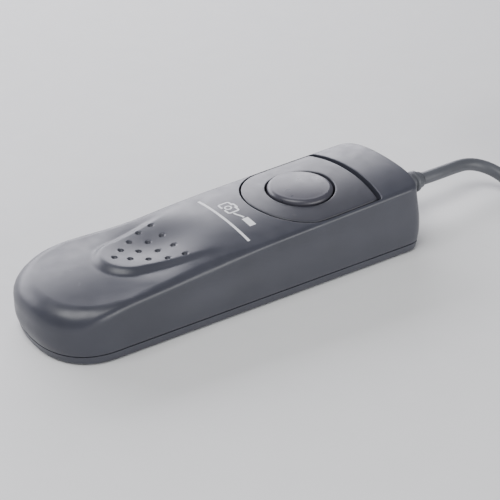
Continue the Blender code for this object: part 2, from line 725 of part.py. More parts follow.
def make_cables(rubber):
    """The two free stretches: from the body to the coil, and from the coil to the plug."""
    tube("cable", smooth_path([Vector(p) * MM for p in LEAD_ROUTE], 5 * MM), CABLE_RADIUS, rubber)
    tube("cable_end", smooth_path([Vector(p) * MM for p in TAIL_ROUTE], 2.2 * MM), CABLE_RADIUS, rubber)


def make_plug(rubber, plastic, brass):
    """The flat three-contact camera plug, lying on the coil."""
    boot = [(2.2 * MM, 0.0), (2.4 * MM, 0.4 * MM), (3.0 * MM, 8.6 * MM), (3.0 * MM, 9.0 * MM)]
    turned("plug_boot", boot, 16, rubber, (PLUG_START, PLUG_Y, PLUG_Z), "X")
    x0 = PLUG_START + 9.3 * MM
    stations = ((0.0, 4.6, 2.8), (1.2, 5.4, 3.3), (12.0, 5.8, 3.5), (16.5, 5.8, 3.5), (17.5, 5.4, 3.2))
    rings = []
    for x, half_y, half_z in stations:
        ring = []
        for i in range(24):
            turn = 2 * math.pi * (i + 0.5) / 24
            c, s = math.cos(turn), math.sin(turn)
            ring.append((x0 + x * MM, PLUG_Y + math.copysign(abs(c) ** 0.5, c) * half_y * MM,
                         PLUG_Z + math.copysign(abs(s) ** 0.5, s) * half_z * MM))
        rings.append(ring)
    loft("plug_body", rings, rubber)
    x1 = x0 + 17.8 * MM
    nose = box("plug_insert", (x1, PLUG_Y - 4.2 * MM, PLUG_Z - 2.2 * MM),
               (x1 + 6.5 * MM, PLUG_Y + 4.2 * MM, PLUG_Z + 2.2 * MM), plastic)
    for i in range(3):
        y = PLUG_Y + (i - 1) * 2.5 * MM
        cut(nose, turned("socket", [(0.75 * MM, x1 + 1.5 * MM), (0.75 * MM, x1 + 9 * MM)], 12, None,
                         (0, y, PLUG_Z), "X"))
        turned(f"plug_contact_{i + 1}", [(0.55 * MM, x1 + 1.6 * MM), (0.55 * MM, x1 + 4.6 * MM)], 10, brass,
               (0, y, PLUG_Z), "X")


def make_inner_cable(rubber, copper_jackets):
    """The stripped end of the cable, its clamp and its three wires down to the board."""
    turned("cable_tail", [(CABLE_RADIUS, 34.4 * MM), (CABLE_RADIUS, 39.9 * MM)], 12, rubber,
           (0, 0, INLET_Z), "X")
    for (name, jacket), y in zip(copper_jackets, (0.75 * MM, 0.0, -0.75 * MM)):
        pad_y = y * 6
        route = [(34.1 * MM, y, INLET_Z), (33.0 * MM, y * 1.3, 7.4 * MM), (31.7 * MM, pad_y * 0.75, 6.3 * MM),
                 (30.9 * MM, pad_y, 5.0 * MM), (30.6 * MM, pad_y, 3.95 * MM)]
        tube(name, smooth_path(route, 0.9 * MM), 0.33 * MM, jacket, resolution=1)


def make_solder_joints(tin):
    board_top = BOARD_Z + BOARD_THICKNESS
    for i in range(3):
        y = (1 - i) * 4.5 * MM
        turned(f"solder_joint_{i + 1}", [(0.95 * MM, board_top + SEAT_GAP), (0.7 * MM, board_top + 0.25 * MM),
                                         (0.3 * MM, board_top + 0.38 * MM)], 10, tin, (30.6 * MM, y, 0))


def make_cable_clamp(plastic):
    low = INLET_Z + CABLE_RADIUS + SEAT_GAP
    clamp = box("cable_clamp", (35.4 * MM, -5.3 * MM, low), (38.6 * MM, 5.3 * MM, low + 1.3 * MM), plastic)
    for x, y in CLAMP_SCREWS:
        cut(clamp, rod("hole", x, y, low - 1 * MM, low + 3 * MM, 0.9 * MM, 10))
    return clamp


def build():
    for obj in list(bpy.data.objects):
        bpy.data.objects.remove(obj)
    casing = material("case_plastic", (0.075, 0.077, 0.092), 0.38)
    plate_plastic = material("plate_plastic", (0.07, 0.072, 0.086), 0.42)
    button_plastic = material("button_plastic", (0.085, 0.086, 0.102), 0.33)
    inner_plastic = material("inner_plastic", (0.32, 0.32, 0.31), 0.5)
    rubber = material("cable_rubber", (0.05, 0.052, 0.06), 0.45)
    steel = material("plated_steel", (0.62, 0.62, 0.6), 0.3, 1.0)
    brass = material("contact_brass", (0.75, 0.56, 0.26), 0.3, 1.0)
    fibre = material("board_fibre", (0.04, 0.18, 0.09), 0.45)
    tin = material("solder", (0.7, 0.7, 0.68), 0.35, 1.0)
    strap = material("tie_strap", (0.02, 0.02, 0.022), 0.7)
    jackets = (("wire_red", material("wire_red", (0.5, 0.02, 0.02), 0.4)),
               ("wire_white", material("wire_white", (0.7, 0.7, 0.68), 0.4)),
               ("wire_yellow", material("wire_yellow", (0.65, 0.5, 0.03), 0.4)))

    top = roof_height(BUTTON_X, 0.0)
    make_upper_housing(casing)
    make_lower_housing(casing)
    make_lock_plate(plate_plastic, top)
    make_release_button(button_plastic, top)
    make_button_clip(steel, top)
    make_button_spring(steel, top)
    make_slide_retainer(inner_plastic)
    make_circuit_board(fibre)
    blade = STEM_TIP_Z - GAP - LEAF
    make_leaf("common_leaf", -3.0 * MM, 22.0 * MM, blade, brass)
    make_leaf("focus_leaf", -0.5 * MM, 22.2 * MM, blade - LEAF_SPACING, brass)
    make_leaf("shutter_leaf", 2.0 * MM, 22.6 * MM, blade - 2 * LEAF_SPACING, brass)
    for i, (x, y) in enumerate(CASE_SCREWS):
        make_screw(f"case_screw_{i + 1}", x, y, 0.2 * MM, 6.9 * MM, 2.2 * MM, 1.0 * MM, 1.0 * MM, steel)
    for i, (x, y) in enumerate(BOARD_SCREWS):
        head = BOARD_Z + BOARD_THICKNESS + SEAT_GAP + 0.7 * MM
        make_screw(f"board_screw_{i + 1}", x, y, head, 0.95 * MM, 1.5 * MM, 0.6 * MM, 0.7 * MM, steel)
    for i, (x, y) in enumerate(RETAINER_SCREWS):
        make_screw(f"retainer_screw_{i + 1}", x, y, 8.3 * MM, 11.8 * MM, 1.5 * MM, 0.65 * MM, 0.7 * MM, steel)
    for i, (x, y) in enumerate(CLAMP_SCREWS):
        head = INLET_Z + CABLE_RADIUS + 2 * SEAT_GAP + 2.0 * MM
        make_screw(f"clamp_screw_{i + 1}", x, y, head, 5.7 * MM, 1.3 * MM, 0.6 * MM, 0.65 * MM, steel)
    make_strain_relief(rubber)
    make_inner_cable(rubber, jackets)
    make_solder_joints(tin)
    make_cable_clamp(inner_plastic)
    make_cables(rubber)
    make_cable_coil(rubber)
    make_coil_tie(strap)
    make_plug(rubber, inner_plastic, brass)


build()
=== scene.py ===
"""The finished look of the wired camera release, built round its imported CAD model."""

import math

import bmesh
import bpy
from mathutils import Matrix, Vector


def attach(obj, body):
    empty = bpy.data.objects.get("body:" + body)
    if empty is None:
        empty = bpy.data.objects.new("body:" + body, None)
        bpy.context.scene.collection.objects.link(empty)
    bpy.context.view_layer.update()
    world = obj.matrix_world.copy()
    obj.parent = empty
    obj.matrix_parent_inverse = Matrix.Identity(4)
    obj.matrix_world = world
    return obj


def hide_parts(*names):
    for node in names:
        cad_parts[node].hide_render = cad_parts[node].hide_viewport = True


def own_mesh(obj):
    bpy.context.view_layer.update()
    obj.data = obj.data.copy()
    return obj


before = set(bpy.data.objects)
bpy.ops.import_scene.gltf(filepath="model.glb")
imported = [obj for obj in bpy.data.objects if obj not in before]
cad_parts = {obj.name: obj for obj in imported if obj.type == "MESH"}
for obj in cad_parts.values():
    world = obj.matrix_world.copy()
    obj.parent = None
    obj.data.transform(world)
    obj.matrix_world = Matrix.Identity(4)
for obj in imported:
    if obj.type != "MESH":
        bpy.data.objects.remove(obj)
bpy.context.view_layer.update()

MM = 0.001

# ---------------------------------------------------------------- camera, light and floor

AZIMUTH = math.radians(-33.9)
ELEVATION = math.radians(30.3)
ROLL = math.radians(-0.5)
DISTANCE = 0.268
AIM = Vector((0.1, 0, 10.4)) * MM
LENS = 93.0
SHIFT = (0.056, -0.031)


def add_camera():
    """A long lens above the near side, turned a little about its own axis."""
    back = Vector((math.sin(AZIMUTH) * math.cos(ELEVATION), -math.cos(AZIMUTH) * math.cos(ELEVATION),
                   math.sin(ELEVATION)))
    right = Vector((math.cos(AZIMUTH), math.sin(AZIMUTH), 0))
    up = back.cross(right)
    turned_right = right * math.cos(ROLL) - up * math.sin(ROLL)
    turned_up = right * math.sin(ROLL) + up * math.cos(ROLL)
    data = bpy.data.cameras.new("camera")
    data.lens = LENS
    data.sensor_width = 36.0
    data.shift_x, data.shift_y = SHIFT
    data.clip_start = 0.01
    camera = bpy.data.objects.new("camera", data)
    camera.matrix_world = Matrix((turned_right, turned_up, back)).transposed().to_4x4()
    camera.location = AIM + back * DISTANCE
    bpy.context.scene.collection.objects.link(camera)
    bpy.context.scene.camera = camera


def add_area_light(name, location, aim, size, power, colour=(1, 1, 1)):
    data = bpy.data.lights.new(name, "AREA")
    data.shape = "RECTANGLE"
    data.size, data.size_y = size
    data.energy = power
    data.color = colour
    light = bpy.data.objects.new(name, data)
    light.location = location
    light.rotation_euler = (Vector(aim) - Vector(location)).to_track_quat("-Z", "Y").to_euler()
    bpy.context.scene.collection.objects.link(light)


def add_lights():
    """A low wide panel behind, a soft one overhead, a weak one in front, and a dim even sky."""
    world = bpy.data.worlds.new("world")
    world.use_nodes = True
    background = world.node_tree.nodes["Background"]
    background.inputs["Color"].default_value = (0.9, 0.93, 1.0, 1)
    background.inputs["Strength"].default_value = 0.22
    bpy.context.scene.world = world
    middle = (0, 0, 0.01)
    add_area_light("back_panel", (0.02, 0.6, 0.24), middle, (1.15, 0.38), 9.0, (0.94, 0.93, 1.0))
    add_area_light("top_panel", (-0.3, -0.05, 0.75), middle, (0.5, 0.5), 5.0)
    add_area_light("front_panel", (0.2, -0.65, 0.16), middle, (0.7, 0.3), 3.4, (1.0, 1.0, 0.98))


# ---------------------------------------------------------------- finishes


PATCH_SIZE = 9 * MM
GLOSS_SIZE = 2.5 * MM
WEAR_SIZE = 1.6 * MM


def finish(name, colour, roughness, metallic=0.0, spread=0.05, variation=0.08, grain=0.25 * MM,
           relief=0.004 * MM, wear=0.0, stretch=(1, 1, 1)):
    """A moulded, plated or painted surface: slow colour and gloss changes, a fine grain, and worn edges."""
    made = bpy.data.materials.new(name)
    made.use_nodes = True
    tree = made.node_tree
    shader = tree.nodes["Principled BSDF"]
    shader.inputs["Metallic"].default_value = metallic

    place = tree.nodes.new("ShaderNodeTexCoord")
    mapping = tree.nodes.new("ShaderNodeMapping")
    mapping.inputs["Scale"].default_value = stretch
    tree.links.new(place.outputs["Object"], mapping.inputs["Vector"])

    def noise(size, detail):
        node = tree.nodes.new("ShaderNodeTexNoise")
        node.inputs["Scale"].default_value = 1 / size
        node.inputs["Detail"].default_value = detail
        tree.links.new(mapping.outputs["Vector"], node.inputs["Vector"])
        return node.outputs["Fac"]

    def ranged(value, low, high, start=0.3, end=0.7):
        node = tree.nodes.new("ShaderNodeMapRange")
        node.inputs["From Min"].default_value = start
        node.inputs["From Max"].default_value = end
        node.inputs["To Min"].default_value = low
        node.inputs["To Max"].default_value = high
        tree.links.new(value, node.inputs["Value"])
        return node.outputs["Result"]

    def mixed(factor, first, second):
        node = tree.nodes.new("ShaderNodeMix")
        node.data_type = "RGBA"
        tree.links.new(factor, node.inputs["Factor"])
        for socket, value in ((node.inputs["A"], first), (node.inputs["B"], second)):
            if isinstance(value, tuple):
                socket.default_value = (*value, 1)
            else:
                tree.links.new(value, socket)
        return node.outputs["Result"]

    darker = tuple(c * (1 - variation) for c in colour)
    paler = tuple(c * (1 + variation) for c in colour)
    shade = mixed(ranged(noise(PATCH_SIZE, 3), 0.0, 1.0), darker, paler)
    if wear:
        edges = tree.nodes.new("ShaderNodeNewGeometry").outputs["Pointiness"]
        worn = tree.nodes.new("ShaderNodeMath")
        worn.operation = "MULTIPLY"
        tree.links.new(ranged(edges, 0.0, wear, 0.52, 0.62), worn.inputs[0])
        tree.links.new(ranged(noise(WEAR_SIZE, 2), 0.3, 1.0), worn.inputs[1])
        shade = mixed(worn.outputs["Value"], shade, tuple(min(1.0, c * 2.2 + 0.02) for c in colour))
    tree.links.new(shade, shader.inputs["Base Color"])
    gloss = ranged(noise(GLOSS_SIZE, 4), roughness - spread, roughness + spread)
    tree.links.new(gloss, shader.inputs["Roughness"])
    bump = tree.nodes.new("ShaderNodeBump")
    bump.inputs["Distance"].default_value = relief
    tree.links.new(noise(grain, 2), bump.inputs["Height"])
    tree.links.new(bump.outputs["Normal"], shader.inputs["Normal"])
    return made


CASE = finish("case_plastic", (0.046, 0.048, 0.063), 0.35, wear=0.25)
PLATE = finish("plate_plastic", (0.043, 0.044, 0.056), 0.37, wear=0.25)
BUTTON = finish("button_plastic", (0.055, 0.054, 0.069), 0.31, relief=0.002 * MM)
RUBBER = finish("cable_rubber", (0.085, 0.089, 0.102), 0.45, grain=0.4 * MM, relief=0.012 * MM)
INNER = finish("inner_plastic", (0.32, 0.32, 0.31), 0.5)
STEEL = finish("plated_steel", (0.62, 0.62, 0.6), 0.28, metallic=1.0, grain=0.3 * MM, stretch=(1, 8, 1))
BRASS = finish("contact_brass", (0.75, 0.56, 0.26), 0.3, metallic=1.0, grain=0.3 * MM, stretch=(1, 9, 1))
FIBRE = finish("board_fibre", (0.04, 0.18, 0.09), 0.42, variation=0.2, grain=0.5 * MM, relief=0.02 * MM)
SOLDER = finish("solder", (0.7, 0.7, 0.68), 0.33, metallic=1.0, grain=0.5 * MM, relief=0.02 * MM)
STRAP = finish("tie_strap", (0.028, 0.028, 0.031), 0.85, spread=0.1, variation=0.3, grain=0.35 * MM,
               relief=0.25 * MM, stretch=(1, 1.6, 1))
MARK_PAINT = finish("mark_paint", (0.78, 0.78, 0.8), 0.45, grain=0.15 * MM, relief=0.006 * MM)
WIRES = {
    "wire_red": finish("wire_red", (0.5, 0.02, 0.02), 0.4),
    "wire_white": finish("wire_white", (0.7, 0.7, 0.68), 0.4),
    "wire_yellow": finish("wire_yellow", (0.65, 0.5, 0.03), 0.4),
}


def add_floor():
    """A plain pale floor."""
    bm = bmesh.new()
    bmesh.ops.create_grid(bm, x_segments=1, y_segments=1, size=1.5)
    mesh = bpy.data.meshes.new("floor")
    bm.to_mesh(mesh)
    bm.free()
    floor = bpy.data.objects.new("floor", mesh)
    bpy.context.scene.collection.objects.link(floor)
    mesh.materials.append(finish("floor", (0.78, 0.78, 0.78), 0.7, variation=0.01, relief=0.0))


add_camera()
add_lights()
add_floor()

# ---------------------------------------------------------------- making meshes


def smooth(t):
    """0 below 0, 1 above 1, and an even curve between."""
    t = min(1.0, max(0.0, t))
    return t * t * (3 - 2 * t)


def quarter(steps):
    """The angles from 0 to a quarter turn, in equal steps."""
    return [math.pi / 2 * step / steps for step in range(steps + 1)]


def add(name, bm, made_of=None, sharp=32):
    """A new object from a bmesh, which is freed."""
    bmesh.ops.remove_doubles(bm, verts=bm.verts, dist=1e-6)
    bmesh.ops.recalc_face_normals(bm, faces=bm.faces)
    mesh = bpy.data.meshes.new(name)
    bm.to_mesh(mesh)
    bm.free()
    mesh.shade_smooth()
    mesh.set_sharp_from_angle(angle=math.radians(sharp))
    obj = bpy.data.objects.new(name, mesh)
    bpy.context.scene.collection.objects.link(obj)
    if made_of:
        mesh.materials.append(made_of)
    return obj


def skin(bm, loops):
    """Quads between rings of vertices of equal length."""
    count = len(loops[0])
    for low, high in zip(loops, loops[1:]):
        for i in range(count):
            j = (i + 1) % count
            bm.faces.new((low[i], low[j], high[j], high[i]))


def loft(name, rings, made_of=None, close_top=True, sharp=32):
    """A closed skin over rings of equal length. A top left unclosed has already met itself."""
    bm = bmesh.new()
    loops = [[bm.verts.new(point) for point in ring] for ring in rings]
    skin(bm, loops)
    bm.faces.new(loops[0])
    if close_top:
        bm.faces.new(loops[-1])
    return add(name, bm, made_of, sharp)


def closed_loft(name, rings, made_of=None):
    """A ring-shaped solid: the last ring joins the first."""
    bm = bmesh.new()
    loops = [[bm.verts.new(point) for point in ring] for ring in rings]
    skin(bm, loops + loops[:1])
    return add(name, bm, made_of)


def circle(radius, height, sides):
    return [(radius * math.cos(2 * math.pi * i / sides), radius * math.sin(2 * math.pi * i / sides), height)
            for i in range(sides)]


def moved(ring, at, axis):
    """A ring made round Z, turned onto axis and moved to at."""
    if axis == "X":
        return [(z + at[0], y + at[1], -x + at[2]) for x, y, z in ring]
    return [(x + at[0], y + at[1], z + at[2]) for x, y, z in ring]


def turned(name, profile, sides, made_of=None, at=(0, 0, 0), axis="Z", sharp=32):
    """A solid turned from (radius, height) pairs, its ends closed, standing on at."""
    rings = [moved(circle(radius, height, sides), at, axis) for radius, height in profile]
    return loft(name, rings, made_of, sharp=sharp)


def rod(name, x, y, low, high, radius, sides=32):
    return turned(name, [(radius, low), (radius, high)], sides, None, (x, y, 0))


def prism(name, points, low, high, made_of=None):
    return loft(name, [[(x, y, z) for x, y in points] for z in (low, high)], made_of)


def box(name, low, high, made_of=None):
    (x0, y0, z0), (x1, y1, z1) = low, high
    return prism(name, [(x0, y0), (x1, y0), (x1, y1), (x0, y1)], z0, z1, made_of)


def merged(name, objs):
    """One object from several that don't touch."""
    bm = bmesh.new()
    for obj in objs:
        bm.from_mesh(obj.data)
        bpy.data.objects.remove(obj)
    return add(name, bm)


def combine(target, tool, operation):
    """Cuts, joins or intersects target with tool, and deletes tool."""
    modifier = target.modifiers.new(operation.title(), "BOOLEAN")
    modifier.operation = operation
    modifier.object = tool
    graph = bpy.context.evaluated_depsgraph_get()
    made = bpy.data.meshes.new_from_object(target.evaluated_get(graph))
    target.modifiers.clear()
    old = target.data
    target.data = made
    bpy.data.meshes.remove(old)
    bpy.data.objects.remove(tool)
    return target


def cut(target, *tools):
    """Takes tools away from target, one after another."""
    for tool in tools:
        combine(target, tool, "DIFFERENCE")
    return target


def join(target, *tools):
    """Adds tools to target, one after another."""
    for tool in tools:
        combine(target, tool, "UNION")
    return target


def even_normals(obj):
    """Keeps the shading of large faces flat beside small rounds, after booleans."""
    obj.data.shade_smooth()
    obj.data.set_sharp_from_angle(angle=math.radians(32))
    modifier = obj.modifiers.new("even_normals", "WEIGHTED_NORMAL")
    modifier.keep_sharp = True
    return obj


def stand_for(piece, body, slot, *nodes):
    """Says what a piece rides on and which CAD nodes it stands for. slot, which would name its finish, is
    not used.
    """
    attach(piece, body)
    if nodes:
        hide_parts(*nodes)
    return piece


# ---------------------------------------------------------------- the cable

CABLE_RADIUS = 1.5 * MM
CABLE_STEP = 1.3 * MM
LEAD_ROUTE = ((0.0549, 0.0, 0.0077), (0.0585, 0.0, 0.0077), (0.0625, 0.0004, 0.0075),
              (0.0664, 0.0010, 0.00715), (0.0700, 0.0013, 0.0067), (0.0732, 0.0005, 0.0060),
              (0.0756, -0.0017, 0.0051), (0.0769, -0.0049, 0.0040), (0.0770, -0.0085, 0.0029),
              (0.0766, -0.0122, 0.0020), (0.0772, -0.0159, 0.0016), (0.0798, -0.0192, 0.00155),
              (0.0842, -0.0217, 0.00155), (0.0900, -0.0234, 0.00175), (0.0962, -0.0249, 0.00215),
              (0.1030, -0.0252, 0.00215))
TAIL_ROUTE = ((0.0881, -0.0080, 0.0061), (0.0889, -0.0112, 0.0075), (0.0899, -0.0139, 0.00865),
              (0.0910, -0.0168, 0.0094), (0.0930, -0.0194, 0.0100), (0.0952, -0.0207, 0.01027),
              (0.0976, -0.0209, 0.0103))
COIL_CENTRE = Vector((0.109, -0.004))
COIL_INNER = 0.015
COIL_PITCH = 0.00305
COIL_LOW = 0.00215
COIL_TURNS = 5.75
COIL_SHIFT_START = 5 / 6


def smooth_path(route, spacing):
    """Points about spacing apart on a smooth curve through the route's own points."""
    route = [Vector(point) for point in route]
    ends = [2 * route[0] - route[1], *route, 2 * route[-1] - route[-2]]
    fine = []
    for p0, p1, p2, p3 in zip(ends, ends[1:], ends[2:], ends[3:]):
        for step in range(24):
            t = step / 24
            fine.append(0.5 * (2 * p1 + (p2 - p0) * t + (2 * p0 - 5 * p1 + 4 * p2 - p3) * t * t
                               + (3 * p1 - p0 - 3 * p2 + p3) * t * t * t))
    fine.append(route[-1])
    along = [0.0]
    for a, b in zip(fine, fine[1:]):
        along.append(along[-1] + (b - a).length)
    count = max(2, round(along[-1] / spacing))
    points = []
    k = 0
    for i in range(count + 1):
        at = along[-1] * i / count
        while k < len(fine) - 2 and along[k + 1] < at:
            k += 1
        points.append(fine[k].lerp(fine[k + 1], (at - along[k]) / (along[k + 1] - along[k])))
    return points


def coil_points():
    """Three turns wound inwards on the floor, then three wound outwards on top of them."""
    points = []
    steps = 36
    for i in range(round(COIL_TURNS * steps) + 1):
        turn, part = divmod(i / steps, 1)
        shift = smooth((part - COIL_SHIFT_START) / (1 - COIL_SHIFT_START))
        if turn < 3:
            line = min(2.0, turn + shift)
            rise = shift if turn == 2 else 0.0
        else:
            line = 5 - turn - shift
            rise = 1.0
        radius = COIL_INNER + COIL_PITCH * (2 - line)
        angle = 2 * math.pi * i / steps - math.pi / 2
        points.append((COIL_CENTRE.x + radius * math.cos(angle), COIL_CENTRE.y + radius * math.sin(angle),
                       COIL_LOW + COIL_PITCH * rise))
    return points


def add_tube(name, points, radius, made_of, resolution=5):
    curve = bpy.data.curves.new(name, "CURVE")
    curve.dimensions = "3D"
    spline = curve.splines.new("POLY")
    spline.points.add(len(points) - 1)
    for point, place in zip(spline.points, points):
        point.co = (*place, 1)
    curve.bevel_depth = radius
    curve.bevel_resolution = resolution
    curve.use_fill_caps = True
    curve.materials.append(made_of)
    obj = bpy.data.objects.new(name, curve)
    bpy.context.scene.collection.objects.link(obj)
    return obj


def add_cable():
    """The whole cable from the head's boot through the coil to the plug."""
    points = smooth_path([*LEAD_ROUTE, *coil_points(), *TAIL_ROUTE], CABLE_STEP)
    cable = add_tube("cable_jacket", points, CABLE_RADIUS, RUBBER)
    stand_for(cable, "housing", "cable_rubber", "cable", "cable_coil", "cable_end")


# ---------------------------------------------------------------- the body's shape

HALF_LENGTH = 45.5 * MM
HALF_WIDTH = 14.0 * MM
TAIL_REACH = 13.0 * MM
TAIL_POWER = 2.35
TAIL_LEAN = 1.1 * MM
HEAD_REACH = 7.2 * MM
HEAD_POWER = 4.2
BULGE_AT = 0.6
HEAD_LEAN_TOP = 0.6 * MM
HEAD_LEAN_BOTTOM = 1.3 * MM
TAIL_START = TAIL_REACH - HALF_LENGTH
HEAD_START = HALF_LENGTH - HEAD_REACH

CREASE_AT_TAIL = 11.6 * MM
CREASE_AT_HEAD = 15.6 * MM
CREASE_INSET = 1.1 * MM
CREASE_FADE = (-12.0 * MM, -33.0 * MM)
CROWN = 1.25 * MM
CROWN_HALF_WIDTH = 12.3 * MM
NOSE_START = -28.0 * MM
NOSE_DROP = 0.7 * MM
EDGE_RADIUS = 0.9 * MM
TAIL_EDGE_RADIUS = 1.8 * MM
TAIL_EDGE_START = 6 * MM
TAIL_EDGE_SPAN = 20 * MM
NOSE_SPAN = 15 * MM
NOSE_RADIUS = 3.6 * MM

TONGUE_TIP = -28.7 * MM
TONGUE_RADIUS = 6.3 * MM
TONGUE_FLARE = 0.2
TONGUE_FLANK = 2.0 * MM
SCOOP_DEPTH = 1.0 * MM
SCOOP_END = -3.0 * MM
SCOOP_FULL = -22.0 * MM
DISH_DEPTH = 1.25 * MM
DISH_MIDDLE = -17.0 * MM
DISH_REACH = (14.0 * MM, 12.0 * MM)
DIMPLE_RADIUS = 0.6 * MM
DIMPLE_DEPTH = 0.5 * MM
DIMPLE_ROWS = ((-13.2, 4, 4.4), (-16.6, 4, 3.8), (-19.8, 3, 3.8), (-22.8, 2, 3.8), (-25.3, 1, 0.0))

PARTING = 2.0 * MM
PARTING_GAP = 0.15 * MM
WALL = 1.6 * MM
ROOF = 1.5 * MM
FLOOR = 1.5 * MM
LIP_CLEARANCE = 0.35 * MM
LIP_THICKNESS = 0.8 * MM
LIP_TOP = 3.4 * MM
GAP = 0.3 * MM
SEAT_GAP = 0.05 * MM
INLET_Z = 7.7 * MM
BOARD_Z = 2.1 * MM

BUTTON_X = 20.0 * MM
HOLE_RADIUS = 7.5 * MM
BUTTON_RADIUS = 7.1 * MM
PLATE_ARC = 12.6 * MM
PLATE_HALF_WIDTH = 12.05 * MM
PLATE_HEAD_X = 32.8 * MM
PLATE_HEAD_ARC = 52.0 * MM
PLATE_THICKNESS = 1.8 * MM
CORNER_POWER = 40
RIM = 0.22 * MM
SLOT = 1.25 * MM

CASE_SCREWS = ((-33.0 * MM, 0.0), (38.4 * MM, 8.0 * MM), (38.4 * MM, -8.0 * MM))
BOARD_SCREWS = ((-4.8 * MM, 6.2 * MM), (-4.8 * MM, -6.2 * MM))
RETAINER_SCREWS = ((3.4 * MM, 7.2 * MM), (3.4 * MM, -7.2 * MM))
CLAMP_SCREWS = ((37.0 * MM, 3.7 * MM), (37.0 * MM, -3.7 * MM))

SKIN_POINTS = 230
SHELL_POINTS = 90
PLATE_POINTS = 240


def half_outline(count):
    """count + 1 evenly spaced points of the widest outline, from the head's middle over +Y to the tail's."""
    dense = []
    for i in range(361):
        turn = math.radians(i / 4)
        dense.append((HEAD_START + HEAD_REACH * math.cos(turn) ** (2 / HEAD_POWER),
                      HALF_WIDTH * math.sin(turn) ** (2 / HEAD_POWER)))
    for i in range(361):
        turn = math.radians(90 - i / 4)
        dense.append((TAIL_START - TAIL_REACH * abs(math.cos(turn)) ** (2 / TAIL_POWER),
                      HALF_WIDTH * math.sin(turn) ** (2 / TAIL_POWER)))
    along = [0.0]
    for (x0, y0), (x1, y1) in zip(dense, dense[1:]):
        along.append(along[-1] + math.hypot(x1 - x0, y1 - y0))
    points = []
    k = 0
    for i in range(count + 1):
        at = along[-1] * i / count
        while k < len(dense) - 2 and along[k + 1] < at:
            k += 1
        share = (at - along[k]) / (along[k + 1] - along[k])
        points.append(tuple(a + (b - a) * share for a, b in zip(dense[k], dense[k + 1])))
    points[0] = (HALF_LENGTH, 0.0)
    points[-1] = (-HALF_LENGTH, 0.0)
    return points


def outline(count):
    """The whole widest outline, counter-clockwise, with 2 * count points that mirror each other."""
    half = half_outline(count)
    return half + [(x, -y) for x, y in half[-2:0:-1]]


def head_lean(share):
    """How far the head's end stands back from its bulge, from the floor at 0 to the roof's edge at 1."""
    if share > BULGE_AT:
        return HEAD_LEAN_TOP * ((share - BULGE_AT) / (1 - BULGE_AT)) ** 2
    return HEAD_LEAN_BOTTOM * ((BULGE_AT - share) / BULGE_AT) ** 2


def tail_lean(share):
    """How far the tail's end stands back below its bulge."""
    return TAIL_LEAN * max(0.0, (BULGE_AT - share) / BULGE_AT) ** 2


def inset(point, distance, share):
    """A point of the widest outline, moved inwards, at that share of the wall's height."""
    x, y = point
    spine = min(HEAD_START, max(TAIL_START, x))
    if x < spine:
        along = (x - spine) * (1 - (distance + tail_lean(share)) / TAIL_REACH)
    else:
        along = (x - spine) * (1 - (distance + head_lean(share)) / HEAD_REACH)
    return (spine + along, y * (1 - distance / HALF_WIDTH))


def to_spine(point, share):
    """A point moved towards the body's straight middle line, which it reaches when share is 1."""
    x, y = point
    spine = min(HEAD_START, max(TAIL_START, x))
    return (spine + (x - spine) * (1 - share), y * (1 - share))


def tongue_distance(x, y):
    """How far a point lies outside the thumb rest's edge; below 0 inside it."""
    from_tip = x - TONGUE_TIP
    if from_tip < TONGUE_RADIUS:
        return math.hypot(from_tip - TONGUE_RADIUS, y) - TONGUE_RADIUS
    return abs(y) - TONGUE_RADIUS - TONGUE_FLARE * (from_tip - TONGUE_RADIUS)


def crease_height(x):
    share = (x + HALF_LENGTH) / (2 * HALF_LENGTH)
    return CREASE_AT_TAIL + (CREASE_AT_HEAD - CREASE_AT_TAIL) * share


def roof_height(x, y, scoop=None):
    """The height of the top surface. scoop is 1 where the surface round the thumb rest is lowest."""
    z = crease_height(x) + CROWN * max(0.0, 1 - abs(y / CROWN_HALF_WIDTH) ** 2.2)
    dish = math.hypot((x - DISH_MIDDLE) / DISH_REACH[0], y / DISH_REACH[1])
    z -= DISH_DEPTH * smooth(1 - dish)
    z -= NOSE_DROP * max(0.0, (NOSE_START - x) / (HALF_LENGTH + NOSE_START)) ** 2
    if scoop is None:
        scoop = smooth(0.5 + tongue_distance(x, y) / TONGUE_FLANK)
    depth = SCOOP_DEPTH * max(0.0, 1 - (y / HALF_WIDTH) ** 4)
    return z - depth * scoop * smooth((SCOOP_END - x) / (SCOOP_END - SCOOP_FULL))


def edge_radius(x):
    """The round between the wall and the roof, small at the head and large on the tail's nose."""
    side = EDGE_RADIUS + (TAIL_EDGE_RADIUS - EDGE_RADIUS) * smooth((TAIL_EDGE_START - x) / TAIL_EDGE_SPAN)
    return side + (NOSE_RADIUS - side) * smooth((NOSE_START - x) / NOSE_SPAN)


def crease_inset(x):
    """How far the wall's top stands in from the widest outline. It fades out round the tail."""
    start, end = CREASE_FADE
    return CREASE_INSET * (1 - smooth((x - start) / (end - start)))


def wall_inset(x, share):
    """How far the wall stands in from the widest outline, from the parting at 0 to the edge at 1."""
    return crease_inset(x) * smooth((share - 0.2) / 0.8)


def roof_rings(points, edge_steps, roof_steps, lower=0.0, extra=0.0, scoop=None):
    """Rings from the wall's top over the edge round to the spine. lower and extra set it inwards."""
    rings = []
    for turn in quarter(edge_steps):
        ring = []
        for point in points:
            radius = max(EDGE_RADIUS, edge_radius(point[0]) - lower)
            x, y = inset(point, crease_inset(point[0]) + extra + radius * (1 - math.cos(turn)), 1.0)
            ring.append((x, y, roof_height(x, y, scoop) - radius * (1 - math.sin(turn)) - lower))
        rings.append(ring)
    for step in range(1, roof_steps + 1):
        ring = []
        for point in points:
            reach = crease_inset(point[0]) + extra + max(EDGE_RADIUS, edge_radius(point[0]) - lower)
            start = inset(point, reach, 1.0)
            x, y = to_spine(start, step / roof_steps)
            ring.append((x, y, roof_height(x, y, scoop) - lower))
        rings.append(ring)
    return rings


